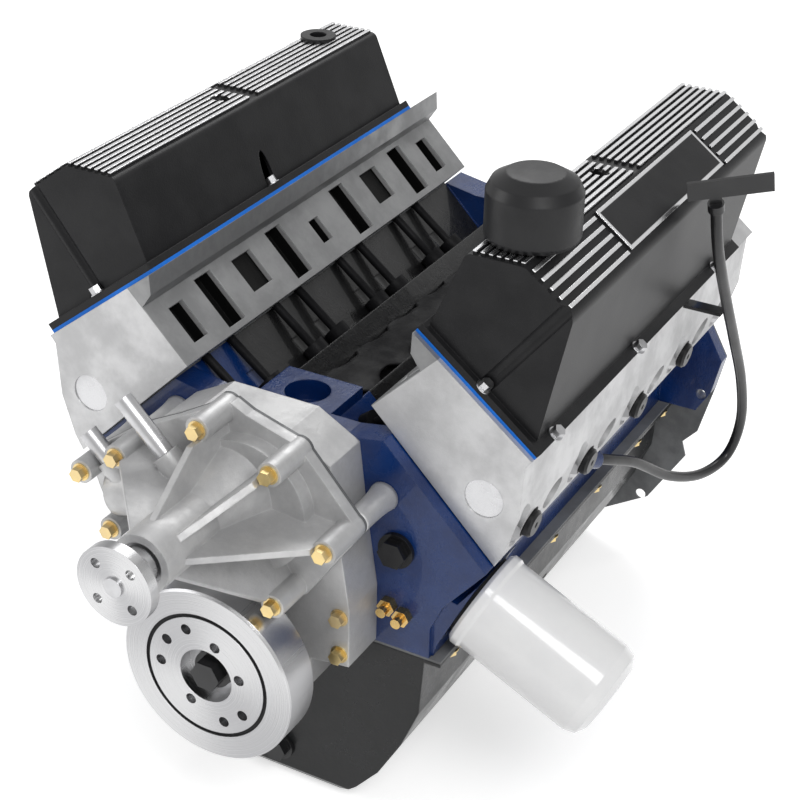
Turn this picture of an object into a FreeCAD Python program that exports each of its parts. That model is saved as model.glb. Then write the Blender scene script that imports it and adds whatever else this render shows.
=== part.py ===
import FreeCAD, Part
import math
import os

import Sketcher

# A pushrod V8 long block that stands on its oil pan, in millimetres.
# The crankshaft turns about the Y axis. +X is the engine's left, -Y its front and +Z is up.
# The origin is the centre of the crankshaft's rear flange face. The left bank leans to +X and
# the right bank to -X, and the right bank's cylinders stand further forward.

SIZES = {
    # Block
    "block_length": 520.0, "flange_stand": 8.0, "bank_angle": 45.0, "bore_spacing": 111.25,
    "bank_offset": 21.3, "first_bore": 60.0, "bore_width": 101.6, "deck_height": 208.4,
    "deck_in": 68.0, "deck_out": 66.0, "bore_foot": 45.0, "crankcase_radius": 84.0,
    "skirt_half": 128.0, "skirt_deep": 38.0, "rail_half": 146.0, "skirt_top": 30.0,
    "side_up": 150.0, "side_bulge": 6.0, "bulkhead": 25.0, "ledge_up": 152.0,
    "ledge_in": 102.0, "valley_half": 18.0, "valley_floor": 158.0, "wall_half": 64.0,
    "wall_top": 189.0, "front_wall": 26.0, "rear_wall": 34.0, "bell_foot": 186.0,
    "bell_ear": 200.0, "bell_low": 24.0, "bell_middle": 62.0, "bell_high": 104.0,
    "bell_top": 70.0, "bell_thick": 14.0, "bell_hole": 5.6, "bell_hole_x": 190.0,
    "bell_hole_z": 20.0, "distributor_radius": 19.6, "distributor_deep": 20.0, "distributor_shaft": 9.0,
    "distributor_station": 48.7,
    "pad_half": 36.0, "pad_long": 78.0, "core_plug": 19.0, "core_plug_deep": 5.0,
    "plate_thick": 2.0, "cup_across": 15.0, "cup_up": 243.0,
    # Crankshaft
    "stroke": 76.2, "main_width": 57.1, "main_long": 26.0, "rod_journal": 53.9,
    "web_thick": 17.0, "web_radius": 36.0, "weight_radius": 70.0, "shell_wall": 2.4,
    "oil_film": 0.05, "crank_flange": 50.0, "flange_thick": 24.0, "flange_circle": 76.2,
    "flange_hole": 5.6, "flange_hole_deep": 18.0, "pilot_radius": 22.2, "pilot_depth": 20.0,
    "snout_radius": 17.5, "seal_wall": 8.0, "seal_seat": 13.0, "seal_thick": 10.0,
    "cap_tall": 44.0, "cap_half": 62.0, "cap_bolt_at": 47.0,
    # Connecting rods and pistons
    "rod_length": 129.3, "pin_height": 40.8, "piston_gap": 0.35, "piston_tall": 57.0,
    "crown_thick": 10.0, "rod_slot": 46.0, "wrist_radius": 11.6, "wrist_half": 40.0,
    "rod_thick": 20.6, "rod_shell": 1.5, "big_end_wall": 8.0, "small_end_wall": 6.5,
    "beam_wide": 20.0, "beam_thick": 12.0,
    # Camshaft and timing drive
    "cam_height": 124.0, "cam_tunnel": 28.0, "cam_journal": 25.4, "cam_core": 14.0,
    "lobe_base": 17.0, "lobe_lift": 6.5, "lobe_tip": 9.0, "lobe_wide": 13.0,
    "lifter_lean": 7.0, "lifter_radius": 11.1, "lifter_fit": 0.05, "lifter_long": 50.0,
    "lifter_gap": 0.4, "lifter_bore_long": 90.0, "pushrod_radius": 4.0, "pushrod_long": 160.5,
    "pushrod_split": 19.0, "crank_teeth": 21.0, "gear_pitch": 9.525, "tooth_deep": 3.0,
    "gear_wide": 12.0, "gear_stand": 10.0, "chain_thick": 5.0, "chain_gap": 0.35,
    # Cylinder heads and valve train
    "gasket_thick": 1.1, "head_length": 498.0, "head_ahead": 68.0, "intake_face": 96.0,
    "lip_up": 273.0, "port_shift": 13.1,
    "rail_in_up": 286.5, "rail_in": 123.5, "rail_out_up": 302.6, "rail_out": -10.6,
    "exhaust_low": 224.0, "exhaust_face": 62.0, "exhaust_up": 258.0, "exhaust_top": 44.0,
    "port_wide": 24.6, "port_low": 215.3, "port_high": 265.5, "port_deep": 17.0,
    "water_wide": 20.0, "water_low": 222.0, "water_high": 257.5, "water_spread": 214.5,
    "water_deep": 17.0, "cross_low": 228.0, "cross_high": 252.0, "rocker_floor": 272.0,
    "rail_wide": 9.0, "chamber_radius": 42.0, "chamber_deep": 9.0, "valve_tilt": 12.0,
    "valve_across": -8.0, "valve_split": 18.0, "stem_radius": 4.0, "guide_fit": 0.05,
    "intake_valve": 19.0, "exhaust_valve": 16.0, "valve_base": 5.2, "valve_long": 107.8,
    "spring_radius": 13.0, "spring_wall": 3.5, "spring_foot": 67.5, "spring_tall": 36.0,
    "retainer_tall": 6.0, "rocker_wide": 15.0, "rocker_thick": 11.0, "rocker_long": 43.0,
    "rocker_in": 67.0, "rocker_up": 321.2, "rocker_shift": -0.5, "stud_across": 50.2,
    "stud_radius": 3.8, "outer_bolt": 50.0, "bolt_seat": 11.4, "bolt_seat_up": 228.0,
    "head_cup": 17.0, "head_cup_deep": 4.0, "exhaust_port": 15.0,
    "exhaust_port_long": 50.0, "exhaust_port_in": 37.0, "exhaust_port_up": 232.6,
    "exhaust_lean": 62.0, "exhaust_shift": 10.0, "plug_shift": 30.0, "plug_in": 46.0,
    "plug_up": 228.0, "plug_lean": 55.0, "plug_recess": 14.0, "plug_cap": 12.0,
    "plug_cap_long": 19.0, "plug_hex": 8.0,
    # Valve covers
    "cover_back": 5.0, "cover_length": 438.0, "cover_wall": 4.0, "cover_top": 362.0,
    "cover_top_in": 153.0, "cover_ridge": 201.0, "cover_out": 243.0, "cover_out_up": 331.0,
    "cover_flange": 6.0, "cover_gasket": 3.0, "cover_inset": 6.0, "flute_radius": 6.8, "flute_low": 0.068, "flute_mid": 0.447,
    "flute_high": 0.865, "flute_inboard": 196.0,
    "rib_tall": 3.0, "rib_wide": 3.2, "rib_count": 7.0, "badge_front": 120.0,
    "badge_rear": 335.0, "rib_break": 213.0, "rib_break_wide": 14.0, "cap_across": 185.0,
    "cap_station": 52.7, "cap_radius": 37.5, "cap_skirt": 38.0, "cap_dome": 16.0, "cap_lift": 3.3,
    "neck_radius": 20.0, "neck_tall": 16.0, "neck_wall": 3.0, "cap_gap": 0.3,
    "grommet_across": 188.0, "grommet_station": 382.0, "grommet_radius": 17.0,
    "grommet_hole": 8.0, "grommet_tall": 6.0,
    # Oil pan and oil system
    "pan_flange": 4.0, "pan_gasket": 2.0, "pan_wall": 2.0, "pan_floor": -186.0,
    "pan_half": 142.0, "pan_lip": 11.0, "pan_waist": 138.0, "pan_waist_at": -62.0,
    "pan_knee": 122.0, "pan_knee_at": -102.0, "pan_chine": 100.0, "pan_chine_at": -142.0,
    "pan_keel": 78.0, "pan_keel_at": -168.0, "pan_bottom": 56.0,
    "pan_shallow": -92.0, "front_sump_end": 150.0,
    "rear_sump_start": 330.0, "rear_sump_end": 500.0, "pickup_radius": 9.0,
    "pan_bolt_at": 151.0, "sump_slope": 40.0, "oil_pump_out": 98.0,
    "oil_pump_drop": 96.0, "oil_pump_radius": 30.0, "oil_pump_tall": 34.0,
    # Front cover, water pump and damper
    "case_deep": 46.0, "case_wall": 6.0, "case_foot": 56.0, "case_drop": 58.0,
    "case_half": 96.0, "case_shoulder": 58.0, "case_waist": 86.0, "case_neck": 78.0,
    "case_top": 40.0, "case_high": 210.0, "case_cam_room": 76.0, "case_crank_room": 46.0,
    "pump_plate": 3.0, "pump_rim": 11.0, "pump_nose_end": 190.0, "pump_nose_radius": 25.0,
    "pump_bell": 46.0, "pump_bell_long": 62.0,
    "pump_volute": 58.0, "pump_column": 10.5, "pump_passage": 22.0, "pump_web_start": 168.0, 
    "pump_rib": 6.0, "pump_bolt_seat": 8.6, "pump_tap": 12.0, "pump_chamber": 16.0, "pump_bearing_long": 60.0,
    "pump_face": 224.0, "pump_height": 156.0, "pump_hub": 33.3, "pump_hub_thick": 10.0,
    "pump_hub_circle": 44.0, "pump_hub_hole": 4.2, "pump_shaft": 8.0, "pump_boss": 18.0,
    "impeller_radius": 34.0, "impeller_tall": 10.0, "heater_pipe": 8.0, "pipe_wall": 1.5,
    "damper_face": 112.5, "damper_radius": 80.7, "damper_wide": 38.0, "damper_hub": 55.2,
    "rubber_thick": 3.5, "damper_web": 12.0, "damper_recess": 14.0, "damper_core": 25.0,
    "damper_sleeve": 27.0, "damper_hole": 4.8, "damper_outer": 44.0, "damper_inner": 33.0,
    "housing_half": 72.0, "housing_long": 42.0, "housing_deep": 66.0,
    # Dipstick
    "tube_radius": 5.0, "tube_wall": 1.2, "blade_radius": 1.8, "blade_long": 38.0, "handle_left": 23.0,
    "handle_right": 48.0, "handle_turn": 28.0, "handle_tall": 34.0, "handle_thick": 3.0, "dipstick_lean": 0.3953, "strap_up": 196.0,
    "strap_long": 35.2,
    # Oil filter
    "filter_x": 168.0, "filter_station": 42.0, "filter_z": 48.0, "filter_tilt": 26.0,
    "filter_radius": 45.0, "filter_long": 138.0, "filter_boss": 38.0, "filter_foot": 40.0, "filter_seal": 3.0,
}


class Dim:
    """A length that carries its value and the sheet expression that gives it."""

    def __init__(self, value, text):
        self.value = value
        self.text = text

    def _join(self, first, sign, second, value):
        texts = [part.text if isinstance(part, Dim) else repr(float(part))
                 for part in (first, second)]
        return Dim(value, "(%s %s %s)" % (texts[0], sign, texts[1]))

    def __add__(self, other):
        return self._join(self, "+", other, self.value + plain(other))

    def __radd__(self, other):
        return self._join(other, "+", self, plain(other) + self.value)

    def __sub__(self, other):
        return self._join(self, "-", other, self.value - plain(other))

    def __rsub__(self, other):
        return self._join(other, "-", self, plain(other) - self.value)

    def __mul__(self, other):
        return self._join(self, "*", other, self.value * plain(other))

    def __rmul__(self, other):
        return self._join(other, "*", self, plain(other) * self.value)

    def __truediv__(self, other):
        return self._join(self, "/", other, self.value / plain(other))

    def __neg__(self):
        return self * -1


def plain(length):
    """The bare number behind a length."""
    return length.value if isinstance(length, Dim) else float(length)


doc = FreeCAD.newDocument("long_block")
sheet = doc.addObject("Spreadsheet::Sheet", "sizes")
for row, (word, amount) in enumerate(SIZES.items(), start=1):
    sheet.set("A%d" % row, word)
    sheet.set("B%d" % row, repr(amount))
    sheet.setAlias("B%d" % row, word)
doc.recompute()


class Sizes:
    """Every named size of the sheet as a length."""

    def __getattr__(self, word):
        return Dim(float(getattr(sheet, word)), "sizes." + word)


S = Sizes()
NODES = []
COS = math.cos(math.radians(plain(S.bank_angle)))
SIN = math.sin(math.radians(plain(S.bank_angle)))
X_AXIS = FreeCAD.Vector(1, 0, 0)
Y_AXIS = FreeCAD.Vector(0, 1, 0)
Z_AXIS = FreeCAD.Vector(0, 0, 1)
UPRIGHT = FreeCAD.Rotation()
ALONG_Y = FreeCAD.Rotation(X_AXIS, -90)
TO_FRONT = FreeCAD.Rotation(X_AXIS, 90)
DOWNWARD = FreeCAD.Rotation(X_AXIS, 180)
BANKS = {"right": -1, "left": 1}


def bind(item, prop, length):
    """Set a property to a length, tied to the sheet when the length comes from it."""
    if isinstance(length, Dim):
        item.setExpression(prop, length.text)
    else:
        setattr(item, prop, float(length))


def place(item, at, rotation=UPRIGHT):
    """Put a piece at a point, each coordinate tied to the sheet where it comes from it."""
    item.Placement = FreeCAD.Placement(FreeCAD.Vector(*[plain(c) for c in at]), rotation)
    for letter, coordinate in zip("xyz", at):
        if isinstance(coordinate, Dim):
            item.setExpression("Placement.Base." + letter, coordinate.text)
    return item


def cylinder(name, radius, height, at, rotation=UPRIGHT):
    """A round bar that starts at a point and runs along its turned Z axis."""
    item = doc.addObject("Part::Cylinder", name)
    bind(item, "Radius", radius)
    bind(item, "Height", height)
    return place(item, at, rotation)


def cone(name, radius_1, radius_2, height, at, rotation=UPRIGHT):
    """A tapered round bar."""
    item = doc.addObject("Part::Cone", name)
    bind(item, "Radius1", radius_1)
    bind(item, "Radius2", radius_2)
    bind(item, "Height", height)
    return place(item, at, rotation)


def box(name, low, size, rotation=UPRIGHT):
    """A block from its low corner."""
    item = doc.addObject("Part::Box", name)
    for prop, length in zip(("Length", "Width", "Height"), size):
        bind(item, prop, length)
    return place(item, low, rotation)


def prism(name, across_flats, height, at, rotation=UPRIGHT):
    """A hexagon bar, such as a bolt head, by the distance across its flats."""
    item = doc.addObject("Part::Prism", name)
    item.Polygon = 6
    bind(item, "Circumradius", across_flats * (1 / math.sqrt(3)))
    bind(item, "Height", height)
    return place(item, at, rotation)


def fuse(name, parts):
    """One solid from several that meet."""
    item = doc.addObject("Part::MultiFuse", name)
    item.Shapes = parts
    item.Refine = True
    return item


def cut(name, base, tools):
    """A solid less one or more tools."""
    item = doc.addObject("Part::Cut", name)
    item.Base = base
    item.Tool = tools[0] if len(tools) == 1 else fuse(name + "_tools", tools)
    item.Refine = True
    return item


def common(name, base, tool):
    """What two solids share."""
    item = doc.addObject("Part::Common", name)
    item.Base = base
    item.Tool = tool
    item.Refine = True
    return item


def sketch_on(body, role, points):
    """A closed outline on one of the body's origin planes, every corner tied to the sheet."""
    sketch = body.newObject("Sketcher::SketchObject", body.Name + "_outline")
    plane = [f for f in body.Origin.OriginFeatures if f.Role == role][0]
    sketch.AttachmentSupport = [(plane, "")]
    sketch.MapMode = "FlatFace"
    count = len(points)
    corners = [FreeCAD.Vector(plain(a), plain(b), 0) for a, b in points]
    sketch.addGeometry(
        [Part.LineSegment(corners[i], corners[(i + 1) % count]) for i in range(count)], False)
    sketch.addConstraint(
        [Sketcher.Constraint("Coincident", i, 2, (i + 1) % count, 1) for i in range(count)])
    for i, pair in enumerate(points):
        for kind, length in zip(("DistanceX", "DistanceY"), pair):
            number = sketch.addConstraint(Sketcher.Constraint(kind, -1, 1, i, 1, plain(length)))
            if isinstance(length, Dim):
                sketch.setExpression("Constraints[%d]" % number, length.text)
    return sketch


def corner_edges(shape, axis, corner):
    """Names of the edges that run along an axis through one corner of the outline."""
    names = []
    flat = [i for i in range(3) if i != axis]
    for number, edge in enumerate(shape.Edges, start=1):
        ends = [vertex.Point for vertex in edge.Vertexes]
        if len(ends) == 2 and all(abs(end[i] - at) < 0.01
                                  for end in ends for i, at in zip(flat, corner)):
            names.append("Edge%d" % number)
    return names


def padded(name, role, axis, points, start, length, rounds):
    """A piece drawn on an origin plane and padded along its normal axis from a start."""
    body = doc.addObject("PartDesign::Body", name)
    sketch = sketch_on(body, role, points)
    feature = body.newObject("PartDesign::Pad", name + "_pad")
    feature.Profile = sketch
    feature.Reversed = role == "XZ_Plane"
    bind(feature, "Length", length)
    for order, (index, radius) in enumerate(sorted(rounds.items())):
        doc.recompute()
        edges = corner_edges(feature.Shape, axis, [plain(c) for c in points[index]])
        fillet = body.newObject("PartDesign::Fillet", "%s_round_%d" % (name, order))
        fillet.Base = (feature, edges)
        bind(fillet, "Radius", radius)
        feature = fillet
    at = [0.0, 0.0, 0.0]
    at[axis] = start
    return place(body, at)


def plate(name, points, start, length, rounds={}):
    """A piece drawn as (x, z) and padded along +Y from a start station."""
    return padded(name, "XZ_Plane", 1, points, start, length, rounds)


def side_plate(name, points, start, length, rounds={}):
    """A piece drawn as (y, z) and padded along +X from a start."""
    return padded(name, "YZ_Plane", 0, points, start, length, rounds)


def turned(name, points, at=(0.0, 0.0, 0.0), rotation=UPRIGHT):
    """A turned piece from its half section (radius, height), about its own Z axis."""
    body = doc.addObject("PartDesign::Body", name)
    sketch = sketch_on(body, "XZ_Plane", points)
    spin = body.newObject("PartDesign::Revolution", name + "_turn")
    spin.Profile = sketch
    spin.ReferenceAxis = (sketch, ["V_Axis"])
    spin.Angle = 360.0
    return place(body, at, rotation)


def both_halves(half):
    """A closed outline from its +X half, listed from the bottom to the top."""
    return half + [(-x, z) for x, z in reversed(half)]


def on_side(sign, points):
    """The same outline on the left (+1) or the right (-1)."""
    return [(x * sign, z) for x, z in points]


def bank_xz(across, up):
    """Left bank coordinates (outboard, along the cylinders) as lengths in the XZ plane."""
    return across * COS + up * SIN, up * COS - across * SIN


def bank_point(sign, across, station, up):
    """A point of either bank from its bank coordinates."""
    x, z = bank_xz(across, up)
    return x * sign, station, z


def bank_turn(sign, lean=0.0):
    """The rotation that lays the Z axis along the bank's cylinders, or leaning outboard."""
    return FreeCAD.Rotation(Y_AXIS, sign * (plain(S.bank_angle) + lean))


def node(label, item):
    """Name a finished piece. The label also names its file."""
    item.Label = label
    NODES.append(item)
    return item


def group(label, items):
    """Several separate solids under one name."""
    item = doc.addObject("Part::Compound", label)
    item.Links = items
    return node(label, item)


def spot(point, rotation=UPRIGHT):
    """A placement from a point whose coordinates may be lengths."""
    return FreeCAD.Placement(FreeCAD.Vector(*[plain(c) for c in point]), rotation)


def copies(label, pattern, places):
    """Equal pieces at several places, as one group of separate solids."""
    doc.recompute()
    item = doc.addObject("Part::Feature", label)
    item.Shape = Part.makeCompound(
        [pattern.Shape.transformed(there.toMatrix(), True) for there in places])
    return node(label, item)


def bolt(name, across_flats, head, washer=1.0):
    """A bolt's hexagon head on its flange, standing on the XY plane."""
    return fuse(name, [
        cylinder(name + "_flange", across_flats * 0.72, washer, (0.0, 0.0, 0.0)),
        prism(name + "_hexagon", across_flats, head + washer, (0.0, 0.0, 0.0))])


# Stations along the crankshaft. Everything at the front is measured from the block's front face.
ZERO = S.bank_offset * 0
FRONT = -(S.flange_stand + S.block_length)
REAR = -S.flange_stand
BORES = {
    "right": [FRONT + S.first_bore + S.bore_spacing * k for k in range(4)],
    "left": [FRONT + S.first_bore + S.bank_offset + S.bore_spacing * k for k in range(4)],
}
THROWS = [station + S.bank_offset / 2 for station in BORES["right"]]
MAINS = [THROWS[0] + S.bore_spacing * (k - 0.5) for k in range(5)]
MIDDLE = {side: stations[0] + S.bore_spacing * 1.5 for side, stations in BORES.items()}
THROW_ANGLES = [0.0, 90.0, 270.0, 180.0]
CAM_UP = S.cam_height * COS
MAIN_RADIUS = S.main_width / 2
BORE_RADIUS = S.bore_width / 2
FILTER_COS = math.cos(math.radians(plain(S.filter_tilt)))
FILTER_SIN = math.sin(math.radians(plain(S.filter_tilt)))


def pin_centre(index):
    """Centre of a rod journal in the XZ plane at rest, the first one along the right bank."""
    turn = math.radians(THROW_ANGLES[index] - plain(S.bank_angle))
    return S.stroke * (math.sin(turn) / 2), S.stroke * (math.cos(turn) / 2)


# Engine block
half_section = [
    (S.rail_half, ZERO), (S.rail_half, S.skirt_top),
    bank_xz(S.deck_out + S.side_bulge, S.side_up), bank_xz(S.deck_out, S.deck_height),
    bank_xz(-S.deck_in, S.deck_height), bank_xz(-S.deck_in, S.ledge_up),
    bank_xz(-S.ledge_in, S.ledge_up), (S.valley_half, S.valley_floor),
]
v_body = plate("block_body", both_halves(half_section), FRONT, S.block_length)
wall_half = [bank_xz(-S.deck_in, S.ledge_up), bank_xz(-S.deck_in, S.deck_height),
             (S.wall_half, S.wall_top)]
front_wall = plate("front_valley_wall", both_halves(wall_half), FRONT, S.front_wall)
rear_wall = plate("rear_valley_wall", both_halves(wall_half), REAR - S.rear_wall, S.rear_wall)
bell_half = [(S.bell_foot, ZERO), (S.bell_ear, S.bell_low), (S.bell_ear + 8, S.bell_middle),
             (S.bell_ear - 16, S.bell_high), (S.bell_top, S.wall_top - 30)]
bell_flange = plate("bell_flange", both_halves(bell_half), REAR - S.bell_thick, S.bell_thick)
distributor_pad = box("distributor_pad", (-S.pad_half, FRONT, S.ledge_up),
                      (S.pad_half * 2, S.pad_long, S.wall_top - S.ledge_up))
filter_turn = FreeCAD.Rotation(Y_AXIS, 90 + plain(S.filter_tilt))
filter_seat = (S.filter_x, FRONT + S.filter_station, S.filter_z)
TUBE_PATH = [(262.0, 268.0, 330.0), (262.0, 285.0, 287.0), (259.0, 333.0, 219.0),
             (256.0, 376.0, 164.0), (252.0, 432.0, 89.0), (247.0, 464.0, 27.0),
             (238.0, 462.0, -14.0), (226.0, 424.0, -20.0), (212.0, 370.0, 2.0),
             (198.0, 310.0, 44.0), (188.0, 268.0, 66.0), (181.5, 250.0, 74.0)]
tube_points = [(x, FRONT + y, z) for x, y, z in TUBE_PATH]
tube_end = FreeCAD.Vector(*[plain(c) for c in tube_points[-1]])
into_block = (tube_end - FreeCAD.Vector(*[plain(c) for c in tube_points[-2]])).normalize()
tube_foot = tube_end + into_block * 0.3
tube_boss = cylinder("tube_boss", S.tube_radius + 4, 30.0, tuple(tube_foot),
                     FreeCAD.Rotation(Z_AXIS, into_block))
filter_boss = plate("filter_boss", [
    (S.rail_half - 6, ZERO + 1), (S.rail_half + 2, ZERO + 1),
    (S.filter_x - S.filter_foot * FILTER_SIN, S.filter_z - S.filter_foot * FILTER_COS),
    (S.filter_x + S.filter_boss * FILTER_SIN, S.filter_z + S.filter_boss * FILTER_COS),
    (S.rail_half + 22, S.skirt_top + 30), (S.rail_half - 6, S.skirt_top + 36)],
    filter_seat[1] - S.filter_boss, S.filter_boss * 2)
block_tools = [
    cylinder("cam_tunnel_hole", S.cam_tunnel, S.block_length + 2,
             (ZERO, FRONT - 1, S.cam_height), ALONG_Y),
    cylinder("main_tunnel", MAIN_RADIUS + S.shell_wall, S.block_length + 2,
             (ZERO, FRONT - 1, ZERO), ALONG_Y),
    cylinder("rear_seal_seat", S.crank_flange + S.seal_wall, S.seal_seat + 1,
             (ZERO, REAR - S.seal_seat, ZERO), ALONG_Y),
    cylinder("flange_room", S.crank_flange + 2, S.flange_thick, (ZERO, -S.flange_thick - 2, ZERO),
             ALONG_Y),
    cylinder("distributor_hole", S.distributor_radius, S.distributor_deep + 1,
             (ZERO, FRONT + S.distributor_station, S.wall_top - S.distributor_deep)),
    cylinder("distributor_shaft_hole", S.distributor_shaft, S.wall_top - S.cam_height,
             (ZERO, FRONT + S.distributor_station, S.cam_height)),
]
for k in range(4):
    start = MAINS[k] + S.bulkhead / 2
    length = S.bore_spacing - S.bulkhead
    block_tools.append(cylinder("crank_pocket_%d" % k, S.crankcase_radius, length,
                                (ZERO, start, ZERO), ALONG_Y))
    block_tools.append(box("skirt_pocket_%d" % k, (-S.skirt_half, start, ZERO - 1),
                           (S.skirt_half * 2, length, S.skirt_deep + 1)))
for side, sign in BANKS.items():
    for k, station in enumerate(BORES[side]):
        block_tools.append(cylinder(
            "%s_bore_%d" % (side, k), BORE_RADIUS, S.deck_height - S.bore_foot + 5,
            bank_point(sign, ZERO, station, S.bore_foot), bank_turn(sign)))
        for hand in (-1, 1):
            block_tools.append(cylinder(
                "%s_lifter_bore_%d_%d" % (side, k, hand + 1), S.lifter_radius + S.lifter_fit,
                S.lifter_bore_long,
                bank_point(sign, -CAM_UP, station + S.pushrod_split * hand, CAM_UP),
                bank_turn(sign, plain(S.lifter_lean))))
for side, sign in BANKS.items():
    block_tools.append(cylinder(side + "_bell_hole", S.bell_hole, S.bell_thick + 2,
                                (S.bell_hole_x * sign, REAR - S.bell_thick - 1, S.bell_hole_z),
                                ALONG_Y))
block = node("engine_block", cut("block", fuse("block_casting", [
    v_body, front_wall, rear_wall, bell_flange, filter_boss, distributor_pad, tube_boss]), block_tools))

# Main bearings, their caps and bolts
shell = turned("main_shell_pattern", [
    (MAIN_RADIUS + S.oil_film, -S.bulkhead / 2), (MAIN_RADIUS + S.shell_wall, -S.bulkhead / 2),
    (MAIN_RADIUS + S.shell_wall, S.bulkhead / 2), (MAIN_RADIUS + S.oil_film, S.bulkhead / 2)])
copies("main_bearing_shells", shell, [spot((0, y, 0), ALONG_Y) for y in MAINS])
cap_bar = box("main_cap_bar", (-S.cap_half, -S.bulkhead / 2, -S.cap_tall),
              (S.cap_half * 2, S.bulkhead, S.cap_tall))
cap_bore = cylinder("main_cap_bore", MAIN_RADIUS + S.shell_wall, S.bulkhead + 2,
                    (ZERO, -S.bulkhead / 2 - 1, ZERO), ALONG_Y)
main_cap = cut("main_cap_pattern", cap_bar, [cap_bore])
copies("main_bearing_caps", main_cap, [spot((0, y, 0)) for y in MAINS])
cap_bolt = bolt("main_cap_bolt_pattern", 15.0, 9.0)
copies("main_cap_bolts", cap_bolt, [
    spot((S.cap_bolt_at * hand, y, -S.cap_tall), DOWNWARD) for y in MAINS for hand in (-1, 1)])

# Crankshaft, with a counterweight opposite each throw
journals = []
for k, station in enumerate(MAINS):
    journals.append(cylinder("main_journal_%d" % k, MAIN_RADIUS, S.main_long + 1,
                             (ZERO, station - S.main_long / 2 - 0.5, ZERO), ALONG_Y))
pin_long = S.bore_spacing - S.main_long - S.web_thick * 2
for k, station in enumerate(THROWS):
    pin_x, pin_z = pin_centre(k)
    journals.append(cylinder("rod_journal_%d" % k, S.rod_journal / 2, pin_long + 2,
                             (pin_x, station - pin_long / 2 - 1, pin_z), ALONG_Y))
web_round = cylinder("web_round_pattern", S.web_radius, S.web_thick,
                     (ZERO, ZERO, S.stroke / 2), ALONG_Y)
web_weight = cylinder("web_weight_pattern", S.weight_radius, S.web_thick, (ZERO, ZERO, ZERO),
                      ALONG_Y)
web_slab = plate("web_slab_pattern", both_halves([
    (S.web_radius + 14, -S.weight_radius), (S.web_radius + 14, -14.0),
    (S.web_radius - 3, S.stroke / 2)]), ZERO, S.web_thick)
web = fuse("web_pattern", [web_round, common("web_cheek", web_slab, fuse("web_blank", [
    web_weight, cylinder("web_reach", S.stroke / 2 + 20, S.web_thick, (ZERO, ZERO, ZERO),
                         ALONG_Y)]))])
doc.recompute()
webs = []
for k, station in enumerate(THROWS):
    for hand in (-1, 1):
        cheek = doc.addObject("Part::Feature", "web_%d_%d" % (k, hand + 1))
        cheek.Shape = web.Shape.copy()
        low = station + hand * (pin_long / 2 + S.web_thick / 2) - S.web_thick / 2
        cheek.Placement = spot((0, low, 0), FreeCAD.Rotation(
            Y_AXIS, THROW_ANGLES[k] - plain(S.bank_angle)))
        webs.append(cheek)
snout_start = FRONT - S.damper_face + S.damper_recess + 1
snout = cylinder("crank_snout", S.snout_radius, MAINS[0] - snout_start, (ZERO, snout_start, ZERO),
                 ALONG_Y)
front_bar = cylinder("crank_front_bar", MAIN_RADIUS - 4, MAINS[0] - FRONT,
                     (ZERO, FRONT, ZERO), ALONG_Y)
rear_bar = cylinder("crank_rear_bar", MAIN_RADIUS, -MAINS[4] - S.flange_thick + 1,
                    (ZERO, MAINS[4], ZERO), ALONG_Y)
flange = cylinder("crank_flange_disc", S.crank_flange, S.flange_thick,
                  (ZERO, -S.flange_thick, ZERO), ALONG_Y)
crank_holes = [cylinder("pilot_hole", S.pilot_radius, S.pilot_depth + 1,
                        (ZERO, -S.pilot_depth, ZERO), ALONG_Y)]
for k in range(6):
    turn = math.radians(60 * k)
    crank_holes.append(cylinder(
        "flange_hole_%d" % k, S.flange_hole, S.flange_hole_deep + 1,
        (S.flange_circle * (math.cos(turn) / 2), -S.flange_hole_deep,
         S.flange_circle * (math.sin(turn) / 2)), ALONG_Y))
node("crankshaft", cut("crank", fuse("crank_forging", journals + webs + [
    snout, front_bar, rear_bar, flange]), crank_holes))
rear_seal = turned("rear_seal", [
    (S.crank_flange + S.oil_film, ZERO), (S.crank_flange + S.seal_wall, ZERO),
    (S.crank_flange + S.seal_wall, S.seal_thick), (S.crank_flange + S.oil_film, S.seal_thick)],
    (ZERO, REAR - S.seal_seat + 1, ZERO), ALONG_Y)

# Pistons, wrist pins and connecting rods, drawn at each cylinder's place at rest
PISTON_RADIUS = BORE_RADIUS - S.piston_gap
rod_eye = S.wrist_radius + S.small_end_wall


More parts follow.
